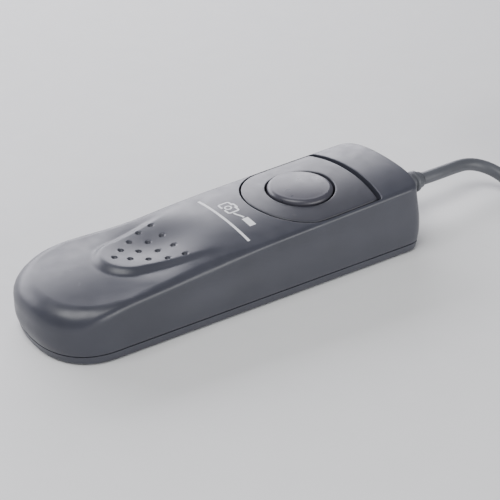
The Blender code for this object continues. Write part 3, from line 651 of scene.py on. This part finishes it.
def body_rings(points, base, wall_steps, edge_steps, roof_steps):
    """The outer surface from the height of base upwards."""
    top = roof_rings(points, edge_steps, roof_steps)
    rings = []
    for step in range(wall_steps):
        share = 0.15 + 0.85 * step / wall_steps
        ring = []
        for point, (_, _, edge) in zip(points, top[0]):
            x, y = inset(point, wall_inset(point[0], share), share)
            ring.append((x, y, base + (edge - base) * step / wall_steps))
        rings.append(ring)
    return rings + top


# ---------------------------------------------------------------- shells


def plate_reach(turn, margin, head_shift=0.0):
    """How far the lock plate's edge lies from the button's middle, in that direction."""
    c, s = math.cos(turn), math.sin(turn)
    limits = [PLATE_ARC + margin]
    if abs(s) > 1e-6:
        limits.append((PLATE_HALF_WIDTH + margin) / abs(s))
    if c > 0:
        limits[0] = 1.0
        centre = PLATE_HEAD_X + margin + head_shift - PLATE_HEAD_ARC - BUTTON_X
        limits.append(centre * c + math.sqrt(PLATE_HEAD_ARC ** 2 - (centre * s) ** 2))
    return sum(limit ** -CORNER_POWER for limit in limits) ** (-1 / CORNER_POWER)


def plate_ring(margin, depth, head_shift=0.0, half_width=HALF_WIDTH):
    """A ring of the lock plate's outline, that far under the roof's surface."""
    ring = []
    for i in range(PLATE_POINTS):
        turn = 2 * math.pi * i / PLATE_POINTS
        reach = plate_reach(turn, margin, head_shift)
        x, y = BUTTON_X + reach * math.cos(turn), reach * math.sin(turn)
        y = max(-half_width, min(half_width, y))
        ring.append((x, y, roof_height(x, y) - depth))
    return ring


def plate_opening():
    """The cutter for the lock plate's opening, with a rounded mouth."""
    low = plate_ring(GAP, PLATE_THICKNESS + GAP, SLOT - GAP)
    rings = []
    for share in (0.02, 0.3, 0.6, 0.85):
        rings.append([(BUTTON_X + (x - BUTTON_X) * share, y * share, z) for x, y, z in low])
    rings.append(low)
    for turn in quarter(5):
        margin = GAP + RIM * (1 - math.cos(turn))
        rings.append(plate_ring(margin, RIM * (1 - math.sin(turn)), SLOT - GAP))
    rings.append(plate_ring(GAP + RIM, -CLEAR_OF_ROOF, SLOT - GAP))
    return loft("opening", rings)


def cavity():
    """The space inside the upper housing."""
    points = outline(SHELL_POINTS)
    walls = []
    for z, share in ((1.0 * MM, 0.1), (LIP_TOP + GAP, 0.2)):
        walls.append([(*inset(point, WALL, share), z) for point in points])
    return loft("hollow", walls + roof_rings(points, 4, 8, lower=ROOF, extra=WALL - 0.3 * MM, scoop=1.0),
                close_top=False)


def dimples():
    """Cutters for the round pits of the thumb rest, with softened mouths."""
    made = []
    for x, count, pitch in DIMPLE_ROWS:
        for i in range(count):
            px, py = x * MM, (i - (count - 1) / 2) * pitch * MM
            top = roof_height(px, py)
            profile = []
            for turn in quarter(6)[1:-1]:
                profile.append((DIMPLE_RADIUS * math.sin(turn), top - DIMPLE_DEPTH * math.cos(turn)))
            profile += [(DIMPLE_RADIUS * 1.06, top - 0.05 * MM), (DIMPLE_RADIUS * 1.2, top + 0.02 * MM),
                        (DIMPLE_RADIUS * 1.6, top + 0.15 * MM)]
            made.append(turned("dimple", profile, 20, None, (px, py, 0)))
    return merged("dimples", made)


CASE_BOSS_FOOT = 2.75 * MM
CASE_BOSS_RADIUS = 2.1 * MM
CASE_PILOT = (1.0 * MM, 7.2 * MM, 1.25 * MM)
RETAINER_BOSS_FOOT = 10.25 * MM
RETAINER_BOSS_RADIUS = 1.9 * MM
RETAINER_PILOT = (9.7 * MM, 12.0 * MM, 0.85 * MM)
INLET_RADIUS = 3.3 * MM
CLEAR_OF_ROOF = 4 * MM


def add_upper_shell():
    """The hollow upper shell, with its bosses, the plate's opening, the cable's inlet and the dimples."""
    rings = body_rings(outline(SKIN_POINTS), PARTING + PARTING_GAP, 10, 7, 36)
    shell = loft("upper_shell", rings, CASE, close_top=False)
    cut(shell, cavity(), plate_opening())
    bosses = []
    pilots = []
    for x, y in CASE_SCREWS:
        bosses.append(rod("boss", x, y, CASE_BOSS_FOOT, crease_height(x) - 0.6 * MM, CASE_BOSS_RADIUS))
        pilots.append(rod("pilot", x, y, *CASE_PILOT, 24))
    for x, y in RETAINER_SCREWS:
        top = crease_height(x) + 0.2 * MM
        bosses.append(rod("boss", x, y, RETAINER_BOSS_FOOT, top, RETAINER_BOSS_RADIUS))
        pilots.append(rod("pilot", x, y, *RETAINER_PILOT, 24))
    join(shell, merged("bosses", bosses))
    cut(shell, merged("pilots", pilots))
    inlet = [(INLET_RADIUS, -4 * MM), (INLET_RADIUS, 4 * MM)]
    cut(shell, turned("inlet", inlet, 48, None, (HALF_LENGTH - 1 * MM, 0, INLET_Z), "X"))
    cut(shell, box("notch", (40.6 * MM, -INLET_RADIUS, 1 * MM), (48.6 * MM, INLET_RADIUS, INLET_Z)))
    cut(shell, dimples())
    even_normals(shell)
    return stand_for(shell, "housing", "case_plastic", "upper_housing")


BOTTOM_ROUND = 0.7 * MM
FOOT_SHARE = 0.14
TRAY_CLEARANCE = 0.25 * MM
TAB_HALF_WIDTH = 2.9 * MM
SUPPORT_BASE = 0.9 * MM
BOARD_SUPPORTS = ((29 * MM, 6.2 * MM), (29 * MM, -6.2 * MM))
SCREW_SEAT = (2.45 * MM, 3.4 * MM)
CLAMP_POST_RADIUS = 1.6 * MM


def wall_ring(depth):
    """The shell's inner outline, that far inside the wall's inner face."""
    return [inset(point, WALL + depth, 0.1) for point in outline(SHELL_POINTS)]


def add_lip(shell):
    """The lip that locates the upper shell, with a gap where the cable comes in."""
    lip = prism("lip", wall_ring(LIP_CLEARANCE), FLOOR - 0.6 * MM, LIP_TOP)
    cut(lip, prism("lip_inside", wall_ring(LIP_CLEARANCE + LIP_THICKNESS), 0.5 * MM, 5 * MM))
    cut(lip, box("lip_gap", (39 * MM, -4.2 * MM, 0), (46 * MM, 4.2 * MM, 6 * MM)))
    join(shell, lip)


def add_supports(shell):
    """The screw seats, the board's standoffs and the cable clamp's posts."""
    seat_top, seat_radius = SCREW_SEAT
    board = BOARD_Z - SEAT_GAP
    for x, y in CASE_SCREWS:
        join(shell, rod("boss", x, y, SUPPORT_BASE, seat_top, seat_radius))
    for x, y in BOARD_SCREWS:
        join(shell, rod("standoff", x, y, SUPPORT_BASE, board, 2.2 * MM))
    for x, y in BOARD_SUPPORTS:
        join(shell, rod("standoff", x, y, SUPPORT_BASE, board, 1.6 * MM))
    for x, y in CLAMP_SCREWS:
        join(shell, rod("post", x, y, SUPPORT_BASE, INLET_Z + 1.3 * MM, CLAMP_POST_RADIUS))


def screw_bores():
    """Cutters for the counterbored case screws and the pilots of the board's and the clamp's screws."""
    bores = []
    for x, y in CASE_SCREWS:
        profile = [(3.0 * MM, -0.5 * MM), (2.75 * MM, 0.0), (2.6 * MM, 0.15 * MM), (2.6 * MM, 1.3 * MM),
                   (1.3 * MM, 1.301 * MM), (1.3 * MM, 4 * MM)]
        bores.append(turned("bore", profile, 48, None, (x, y, 0)))
    for x, y in BOARD_SCREWS:
        bores.append(rod("pilot", x, y, 0.75 * MM, 3 * MM, 0.75 * MM, 16))
    for x, y in CLAMP_SCREWS:
        bores.append(rod("pilot", x, y, 3.5 * MM, 10 * MM, 0.75 * MM, 16))
    return merged("bores", bores)


def add_lower_shell():
    """The tray that closes the case from below."""
    points = outline(SKIN_POINTS)
    top = PARTING - PARTING_GAP / 2
    rings = []
    for turn in quarter(7):
        z = BOTTOM_ROUND * (1 - math.cos(turn))
        distance = BOTTOM_ROUND * (1 - math.sin(turn))
        rings.append([(*inset(point, distance, FOOT_SHARE * z / top), z) for point in points])
    rings.append([(*inset(point, 0.0, FOOT_SHARE), top) for point in points])
    shell = loft("lower_shell", rings, CASE)
    cut(shell, prism("tray", wall_ring(TRAY_CLEARANCE), FLOOR, 4 * MM))
    add_lip(shell)
    join(shell, box("inlet_tab", (HALF_LENGTH - 1.75 * MM, -TAB_HALF_WIDTH, 0.8 * MM),
                    (HALF_LENGTH - 0.45 * MM, TAB_HALF_WIDTH, INLET_Z - 3.6 * MM)))
    add_supports(shell)
    cut(shell, screw_bores())
    even_normals(shell)
    return stand_for(shell, "housing", "case_plastic", "lower_housing")


# ---------------------------------------------------------------- lock plate, button and printed mark

FLANGE_TOP = 1.7 * MM
FLANGE_BOTTOM = 3.0 * MM
FLANGE_REACH = 2.2 * MM
FLANGE_HEAD_REACH = 1.6 * MM
FLANGE_HALF_WIDTH = 10.4 * MM
CUP_WALL = 1.1 * MM
CUP_DEPTH = 4.6 * MM
CUP_FLOOR = 0.8 * MM
STEM_RADIUS = 2.2 * MM
STEM_HOLE = 2.7 * MM
STEM_TIP_Z = 8.9 * MM
BUTTON_PROUD = 0.8 * MM
BUTTON_SHOULDER = (1.0 * MM, 0.9 * MM)
BUTTON_DOME = 0.35 * MM
CAP_THICKNESS = 1.3 * MM
SKIRT_DEPTH = 3.0 * MM
SKIRT_WALL = 0.9 * MM


def well_ring(radius, z=None, depth=0.0):
    """A ring round the button's axis, at one height or following the roof."""
    ring = []
    for x, y, _ in circle(radius, 0, PLATE_POINTS):
        x += BUTTON_X
        ring.append((x, y, roof_height(x, y) - depth if z is None else z))
    return ring


def add_lock_plate():
    """The sliding plate, its flange under the roof and its cup round the button."""
    top = roof_height(BUTTON_X, 0.0)
    floor, base = top - CUP_DEPTH, top - CUP_DEPTH - CUP_FLOOR
    rings = [well_ring(STEM_HOLE, base), well_ring(STEM_HOLE, floor), well_ring(HOLE_RADIUS - RIM, floor),
             well_ring(HOLE_RADIUS, floor + RIM), well_ring(HOLE_RADIUS, floor + 2.4 * MM)]
    for turn in quarter(5):
        rings.append(well_ring(HOLE_RADIUS + RIM * (1 - math.cos(turn)), None, RIM * (1 - math.sin(turn))))
    inner, outer = rings[-1], plate_ring(-RIM, 0.0)
    for step in range(1, 14):
        share = step / 14
        ring = []
        for (x0, y0, _), (x1, y1, _) in zip(inner, outer):
            x, y = x0 + (x1 - x0) * share, y0 + (y1 - y0) * share
            ring.append((x, y, roof_height(x, y)))
        rings.append(ring)
    for turn in quarter(5):
        rings.append(plate_ring(-RIM * (1 - math.sin(turn)), RIM * (1 - math.cos(turn))))
    rings.append(plate_ring(0.0, FLANGE_TOP))
    for depth in (FLANGE_TOP, FLANGE_BOTTOM):
        rings.append(plate_ring(FLANGE_REACH, depth, FLANGE_HEAD_REACH - FLANGE_REACH, FLANGE_HALF_WIDTH))
    cup = HOLE_RADIUS + CUP_WALL
    rings += [well_ring(cup, None, FLANGE_BOTTOM), well_ring(cup, base)]
    plate = even_normals(closed_loft("lock_slider", rings, PLATE))
    return stand_for(plate, "lock", "plate_plastic", "lock_plate")


def add_button():
    """The button's cap, with its skirt below and a grooved stem in the middle."""
    top = roof_height(BUTTON_X, 0.0)
    crown = top + BUTTON_PROUD
    under = crown - BUTTON_DOME - CAP_THICKNESS
    inner = BUTTON_RADIUS - SKIRT_WALL
    groove = top - CUP_DEPTH - CUP_FLOOR - 0.35 * MM
    profile = [
        (0.3 * MM, STEM_TIP_Z), (STEM_RADIUS * 0.6, STEM_TIP_Z + 0.05 * MM),
        (STEM_RADIUS * 0.85, STEM_TIP_Z + 0.2 * MM), (STEM_RADIUS, STEM_TIP_Z + 0.5 * MM),
        (STEM_RADIUS, groove - 0.45 * MM), (STEM_RADIUS - 0.5 * MM, groove - 0.44 * MM),
        (STEM_RADIUS - 0.5 * MM, groove), (STEM_RADIUS, groove + 0.01 * MM),
        (STEM_RADIUS, under), (inner - 1.0 * MM, under), (inner, under - 0.7 * MM),
        (inner, crown - SKIRT_DEPTH), (BUTTON_RADIUS, crown - SKIRT_DEPTH + 0.01 * MM),
    ]
    reach, drop = BUTTON_SHOULDER
    for i in range(13):
        turn = math.radians(7.5 * i)
        profile.append((BUTTON_RADIUS - reach * (1 - math.cos(turn)),
                        crown - BUTTON_DOME - drop * (1 - math.sin(turn))))
    for i in range(1, 12):
        share = 1 - i / 12
        profile.append(((BUTTON_RADIUS - reach) * share, crown - BUTTON_DOME * share ** 2))
    button = turned("thumb_button", profile, 120, BUTTON, (BUTTON_X, 0, 0))
    return stand_for(even_normals(button), "button", "button_plastic", "release_button")


SPRING_RADIUS = 4.4 * MM
SPRING_WIRE = 0.24 * MM
SPRING_TURNS = 3.5


def add_return_spring():
    """The spring round the stem, at its length with the button up; the real spring closes up as the button
    goes down.
    """
    top = roof_height(BUTTON_X, 0.0)
    seat = top - CUP_DEPTH + SEAT_GAP
    free = CUP_DEPTH + BUTTON_PROUD - BUTTON_DOME - CAP_THICKNESS - 2 * SEAT_GAP
    steps = 48
    count = round(SPRING_TURNS * steps)
    rings = []
    for i in range(count + 1):
        turn = 2 * math.pi * i / steps
        z = seat + SPRING_WIRE + (free - 2 * SPRING_WIRE) * i / count
        ring = []
        for out, up, _ in circle(SPRING_WIRE, 0, 12):
            reach = SPRING_RADIUS + out
            ring.append((BUTTON_X + reach * math.cos(turn), reach * math.sin(turn), z + up))
        rings.append(ring)
    spring = stand_for(loft("return_spring", rings, STEEL), "lock", "plated_steel", "button_spring")
    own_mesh(spring)


PAINT = 0.02 * MM
PAINT_ROOT = 0.05 * MM
MARK_LINE_X = -0.2
MARK_LINE_Y = (8.6, -10.2)
MARK_LINE_WIDTH = 0.6
SYMBOL_Y = 2.0
SYMBOL_STROKE = 0.42


def painted_stroke(path, width, closed=False):
    """A thin layer of paint on the roof, along a path in millimetres."""
    points = [Vector(p) for p in path]
    rings = []
    for i, point in enumerate(points):
        before = points[i - 1] if i or closed else point
        after = points[(i + 1) % len(points)] if i + 1 < len(points) or closed else point
        along = (after - before).normalized()
        across = Vector((-along.y, along.x)) * width / 2
        ring = []
        for side, rise in ((-1, -PAINT_ROOT), (-1, PAINT), (1, PAINT), (1, -PAINT_ROOT)):
            x, y = (point + across * side) * MM
            ring.append((x, y, roof_height(x, y) + rise))
        rings.append(ring)
    return closed_loft("stroke", rings) if closed else loft("stroke", rings)


def arc(cx, cy, radius, start, end, steps):
    """Points on an arc, with its angles in degrees."""
    turns = [math.radians(start + (end - start) * i / steps) for i in range(steps + 1)]
    return [(cx + radius * math.cos(t), cy + radius * math.sin(t)) for t in turns]


def rounded_box(cx, cy, half_x, half_y, radius):
    """The outline of a rectangle with round corners."""
    path = []
    for sx, sy, start in ((1, 1, 0), (-1, 1, 90), (-1, -1, 180), (1, -1, 270)):
        path += arc(cx + sx * (half_x - radius), cy + sy * (half_y - radius), radius, start, start + 90, 4)
    return path


def add_mark():
    """A plain line across the body, and beside it a camera, its cable and its release as line symbols."""
    x, (y0, y1) = MARK_LINE_X, MARK_LINE_Y
    strokes = [painted_stroke([(x, y0 + (y1 - y0) * i / 40) for i in range(41)], MARK_LINE_WIDTH)]
    strokes.append(painted_stroke(rounded_box(3.0, SYMBOL_Y, 1.25, 2.1, 0.4), SYMBOL_STROKE, closed=True))
    strokes.append(painted_stroke(arc(2.9, SYMBOL_Y, 0.68, 0, 345, 22), 0.34, closed=True))
    hump = [(4.4, SYMBOL_Y + 1.0), (4.65, SYMBOL_Y + 0.7), (4.65, SYMBOL_Y - 0.7), (4.4, SYMBOL_Y - 1.0)]
    strokes.append(painted_stroke(hump, 0.4))
    lead = [(2.6 + 0.8 * smooth(i / 16), SYMBOL_Y - 2.5 - i * 0.16) for i in range(17)]
    strokes.append(painted_stroke(lead, SYMBOL_STROKE))
    strokes.append(painted_stroke([(3.4, SYMBOL_Y - 5.4 - 0.2 * i) for i in range(16)], 1.5))
    mark = merged("printed_mark", strokes)
    mark.data.materials.append(MARK_PAINT)
    return stand_for(mark, "housing", None)


# ---------------------------------------------------------------- fasteners


def add_screw(name, node, x, y, head_z, shank_z, radius, shank, head_height):
    """A pan-head cross-recess screw. Its head's outer face is at head_z and its tip at shank_z."""
    up = 1 if shank_z > head_z else -1
    profile = [(radius * 0.3, head_z)]
    for turn in quarter(6)[1:]:
        profile.append((radius * (0.55 + 0.45 * math.sin(turn)),
                        head_z + up * 0.35 * head_height * (1 - math.cos(turn))))
    profile += [(radius, head_z + up * head_height), (shank, head_z + up * (head_height + 0.01 * MM))]
    threads = int(abs(shank_z - head_z) / (0.6 * MM)) - 2
    start = head_z + up * (head_height + 0.3 * MM)
    for i in range(max(1, threads)):
        z = start + up * i * 0.6 * MM
        profile += [(shank, z), (shank * 0.82, z + up * 0.3 * MM)]
    profile.append((shank * 0.3, shank_z))
    if up < 0:
        profile.reverse()
    screw = turned(name, profile, 40, STEEL, (x, y, 0))
    depth = head_height * 0.6
    low, high = sorted((head_z - up * 1 * MM, head_z + up * depth))
    arm, thin = radius * 0.62, radius * 0.13
    cross = box("cross", (x - arm, y - thin, low), (x + arm, y + thin, high))
    join(cross, box("arm", (x - thin, y - arm, low), (x + thin, y + arm, high)))
    cut(screw, cross)
    even_normals(screw)
    return stand_for(screw, "housing", "plated_steel", node)


def add_screws():
    """The three case screws, driven in from below."""
    for i, (x, y) in enumerate(CASE_SCREWS):
        add_screw(f"shell_screw_{i + 1}", f"case_screw_{i + 1}", x, y, 0.2 * MM, 6.9 * MM,
                  2.2 * MM, 1.0 * MM, 1.0 * MM)


# ---------------------------------------------------------------- strain relief, coil tie and plug

BOOT_END = 54.6 * MM
BOOT_RIBS = 3
TIE_HALF_WIDTH = 2.5 * MM
TIE_THICKNESS = 0.6 * MM
PLUG_Y = -20.9 * MM
PLUG_START = 98.0 * MM
PLUG_Z = 10.3 * MM
GRIP_START = PLUG_START + 9.3 * MM
NOSE_BACK = GRIP_START + 17.8 * MM
PIN_PITCH = 2.5 * MM


def add_relief_boot():
    """The grommet in the head's end wall, with its ribbed boot outside."""
    profile = [(3.8 * MM, 40.2 * MM), (4.0 * MM, 40.35 * MM), (4.0 * MM, 41.3 * MM), (3.9 * MM, 41.4 * MM),
               (2.7 * MM, 41.45 * MM), (2.7 * MM, 45.5 * MM), (3.25 * MM, 45.52 * MM), (3.4 * MM, 45.7 * MM),
               (3.4 * MM, 46.5 * MM), (3.25 * MM, 46.75 * MM), (2.95 * MM, 46.85 * MM)]
    radius, x = 2.9 * MM, 47.2 * MM
    for _ in range(BOOT_RIBS):
        profile += [(radius - 0.45 * MM, x), (radius - 0.45 * MM, x + 0.6 * MM),
                    (radius - 0.12 * MM, x + 0.75 * MM), (radius, x + 0.95 * MM),
                    (radius - 0.03 * MM, x + 1.6 * MM), (radius - 0.2 * MM, x + 1.9 * MM)]
        radius -= 0.2 * MM
        x += 2.1 * MM
    profile += [(2.0 * MM, x + 0.1 * MM), (1.9 * MM, BOOT_END - 0.2 * MM), (1.7 * MM, BOOT_END)]
    boot = turned("relief_boot", profile, 64, RUBBER, (0, 0, INLET_Z), "X", sharp=50)
    return stand_for(boot, "housing", "cable_rubber", "strain_relief")


def add_tie_band():
    """A hook-and-loop strap round the bundle, as a closed band; its end lapped over the top isn't built."""
    reach = CABLE_RADIUS + 0.05 * MM
    x0 = COIL_CENTRE.x + COIL_INNER
    x1 = x0 + 2 * COIL_PITCH
    z0, z1 = COIL_LOW, COIL_LOW + COIL_PITCH
    path = []
    for cx, cz, start in ((x1, z1, 0), (x0, z1, 90), (x0, z0, 180), (x1, z0, 270)):
        for i in range(9):
            turn = math.radians(start + 90 * i / 8)
            path.append((cx, cz, math.cos(turn), math.sin(turn)))
    rings = []
    for cx, cz, c, s in path:
        ring = []
        for side, out in ((-1, 0.0), (-1, 0.75), (-0.93, 1.0), (0.93, 1.0), (1, 0.75), (1, 0.0)):
            far = reach + TIE_THICKNESS * out
            ring.append((cx + far * c, COIL_CENTRE.y + side * TIE_HALF_WIDTH, cz + far * s))
        rings.append(ring)
    band = closed_loft("tie_band", rings, STRAP)
    return stand_for(band, "housing", "tie_strap", "coil_tie")


def add_plug_sleeve():
    """The ribbed sleeve that the cable runs into behind the plug."""
    profile = [(2.0 * MM, 0.0), (2.2 * MM, 0.15 * MM), (2.3 * MM, 0.5 * MM)]
    for i in range(4):
        x = (1.2 + 1.7 * i) * MM
        radius = (2.45 + 0.14 * i) * MM
        profile += [(radius, x), (radius - 0.35 * MM, x + 0.15 * MM), (radius - 0.35 * MM, x + 0.75 * MM),
                    (radius, x + 0.9 * MM)]
    profile += [(3.0 * MM, 8.2 * MM), (3.0 * MM, 9.0 * MM)]
    sleeve = turned("plug_sleeve", profile, 48, RUBBER, (PLUG_START, PLUG_Y, PLUG_Z), "X")
    stand_for(sleeve, "housing", "cable_rubber", "plug_boot")


def add_plug_grip():
    """The plug's moulded body, with finger grooves round it."""
    stations = [(0.0, 4.4, 2.6), (0.1, 4.8, 2.9), (0.4, 5.15, 3.15), (1.0, 5.35, 3.3)]
    for i in range(5):
        x = 3.0 + 1.8 * i
        half_y, half_z = 5.4 + 0.033 * (x - 1), 3.32 + 0.016 * (x - 1)
        stations += [(x, half_y, half_z), (x + 0.2, half_y - 0.3, half_z - 0.3),
                     (x + 0.8, half_y - 0.3, half_z - 0.3), (x + 1.0, half_y, half_z)]
    stations += [(12.6, 5.8, 3.5), (16.5, 5.8, 3.5), (17.1, 5.7, 3.4), (17.4, 5.5, 3.25), (17.5, 5.2, 3.0)]
    rings = []
    for x, half_y, half_z in stations:
        ring = []
        for i in range(96):
            turn = 2 * math.pi * (i + 0.5) / 96
            c, s = math.cos(turn), math.sin(turn)
            ring.append((GRIP_START + x * MM, PLUG_Y + math.copysign(abs(c) ** 0.5, c) * half_y * MM,
                         PLUG_Z + math.copysign(abs(s) ** 0.5, s) * half_z * MM))
        rings.append(ring)
    stand_for(loft("plug_grip", rings, RUBBER), "housing", "cable_rubber", "plug_body")


def add_plug_nose():
    """The keyed nose, with a contact pin standing in each of its sockets."""
    rings = []
    for x, shrink in ((0.0, 0.0), (6.1, 0.0), (6.35, 0.1), (6.5, 0.35)):
        path = rounded_box(0.0, 0.0, 4.2 - shrink, 2.2 - shrink, 0.9 - shrink)
        rings.append([(NOSE_BACK + x * MM, PLUG_Y + y * MM, PLUG_Z + z * MM) for y, z in path])
    nose = loft("plug_nose", rings, INNER)
    cut(nose, box("key", (NOSE_BACK + 1 * MM, PLUG_Y - 0.8 * MM, PLUG_Z + 1.7 * MM),
                  (NOSE_BACK + 9 * MM, PLUG_Y + 0.8 * MM, PLUG_Z + 3 * MM)))
    socket = [(0.75 * MM, 1.5 * MM), (0.75 * MM, 6.3 * MM), (0.95 * MM, 6.5 * MM), (1.0 * MM, 7 * MM)]
    contact = [(0.55 * MM, 1.6 * MM), (0.55 * MM, 4.3 * MM), (0.45 * MM, 4.5 * MM), (0.25 * MM, 4.6 * MM)]
    sockets = []
    for i in range(3):
        at = (NOSE_BACK, PLUG_Y + (i - 1) * PIN_PITCH, PLUG_Z)
        sockets.append(turned("socket", socket, 32, None, at, "X"))
        pin = turned(f"plug_pin_{i + 1}", contact, 24, BRASS, at, "X")
        stand_for(pin, "housing", "contact_brass", f"plug_contact_{i + 1}")
    cut(nose, merged("sockets", sockets))
    stand_for(even_normals(nose), "housing", "inner_plastic", "plug_insert")


# ---------------------------------------------------------------- finishes of the parts inside

INSIDE = {
    "button_clip": STEEL, "slide_retainer": INNER, "retainer_screw_1": STEEL,
    "retainer_screw_2": STEEL, "circuit_board": FIBRE, "board_screw_1": STEEL, "board_screw_2": STEEL,
    "common_leaf": BRASS, "focus_leaf": BRASS, "shutter_leaf": BRASS, "cable_clamp": INNER,
    "clamp_screw_1": STEEL, "clamp_screw_2": STEEL, "cable_tail": RUBBER, "solder_joint_1": SOLDER,
    "solder_joint_2": SOLDER, "solder_joint_3": SOLDER, **WIRES,
}


def finish_inside():
    """Gives the CAD parts that show as they are their finishes."""
    for name, made_of in INSIDE.items():
        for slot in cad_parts[name].material_slots:
            slot.material = made_of


add_upper_shell()
add_lower_shell()
add_lock_plate()
add_button()
add_return_spring()
add_mark()
add_screws()
add_relief_boot()
add_tie_band()
add_plug_sleeve()
add_plug_grip()
add_plug_nose()
add_cable()
finish_inside()
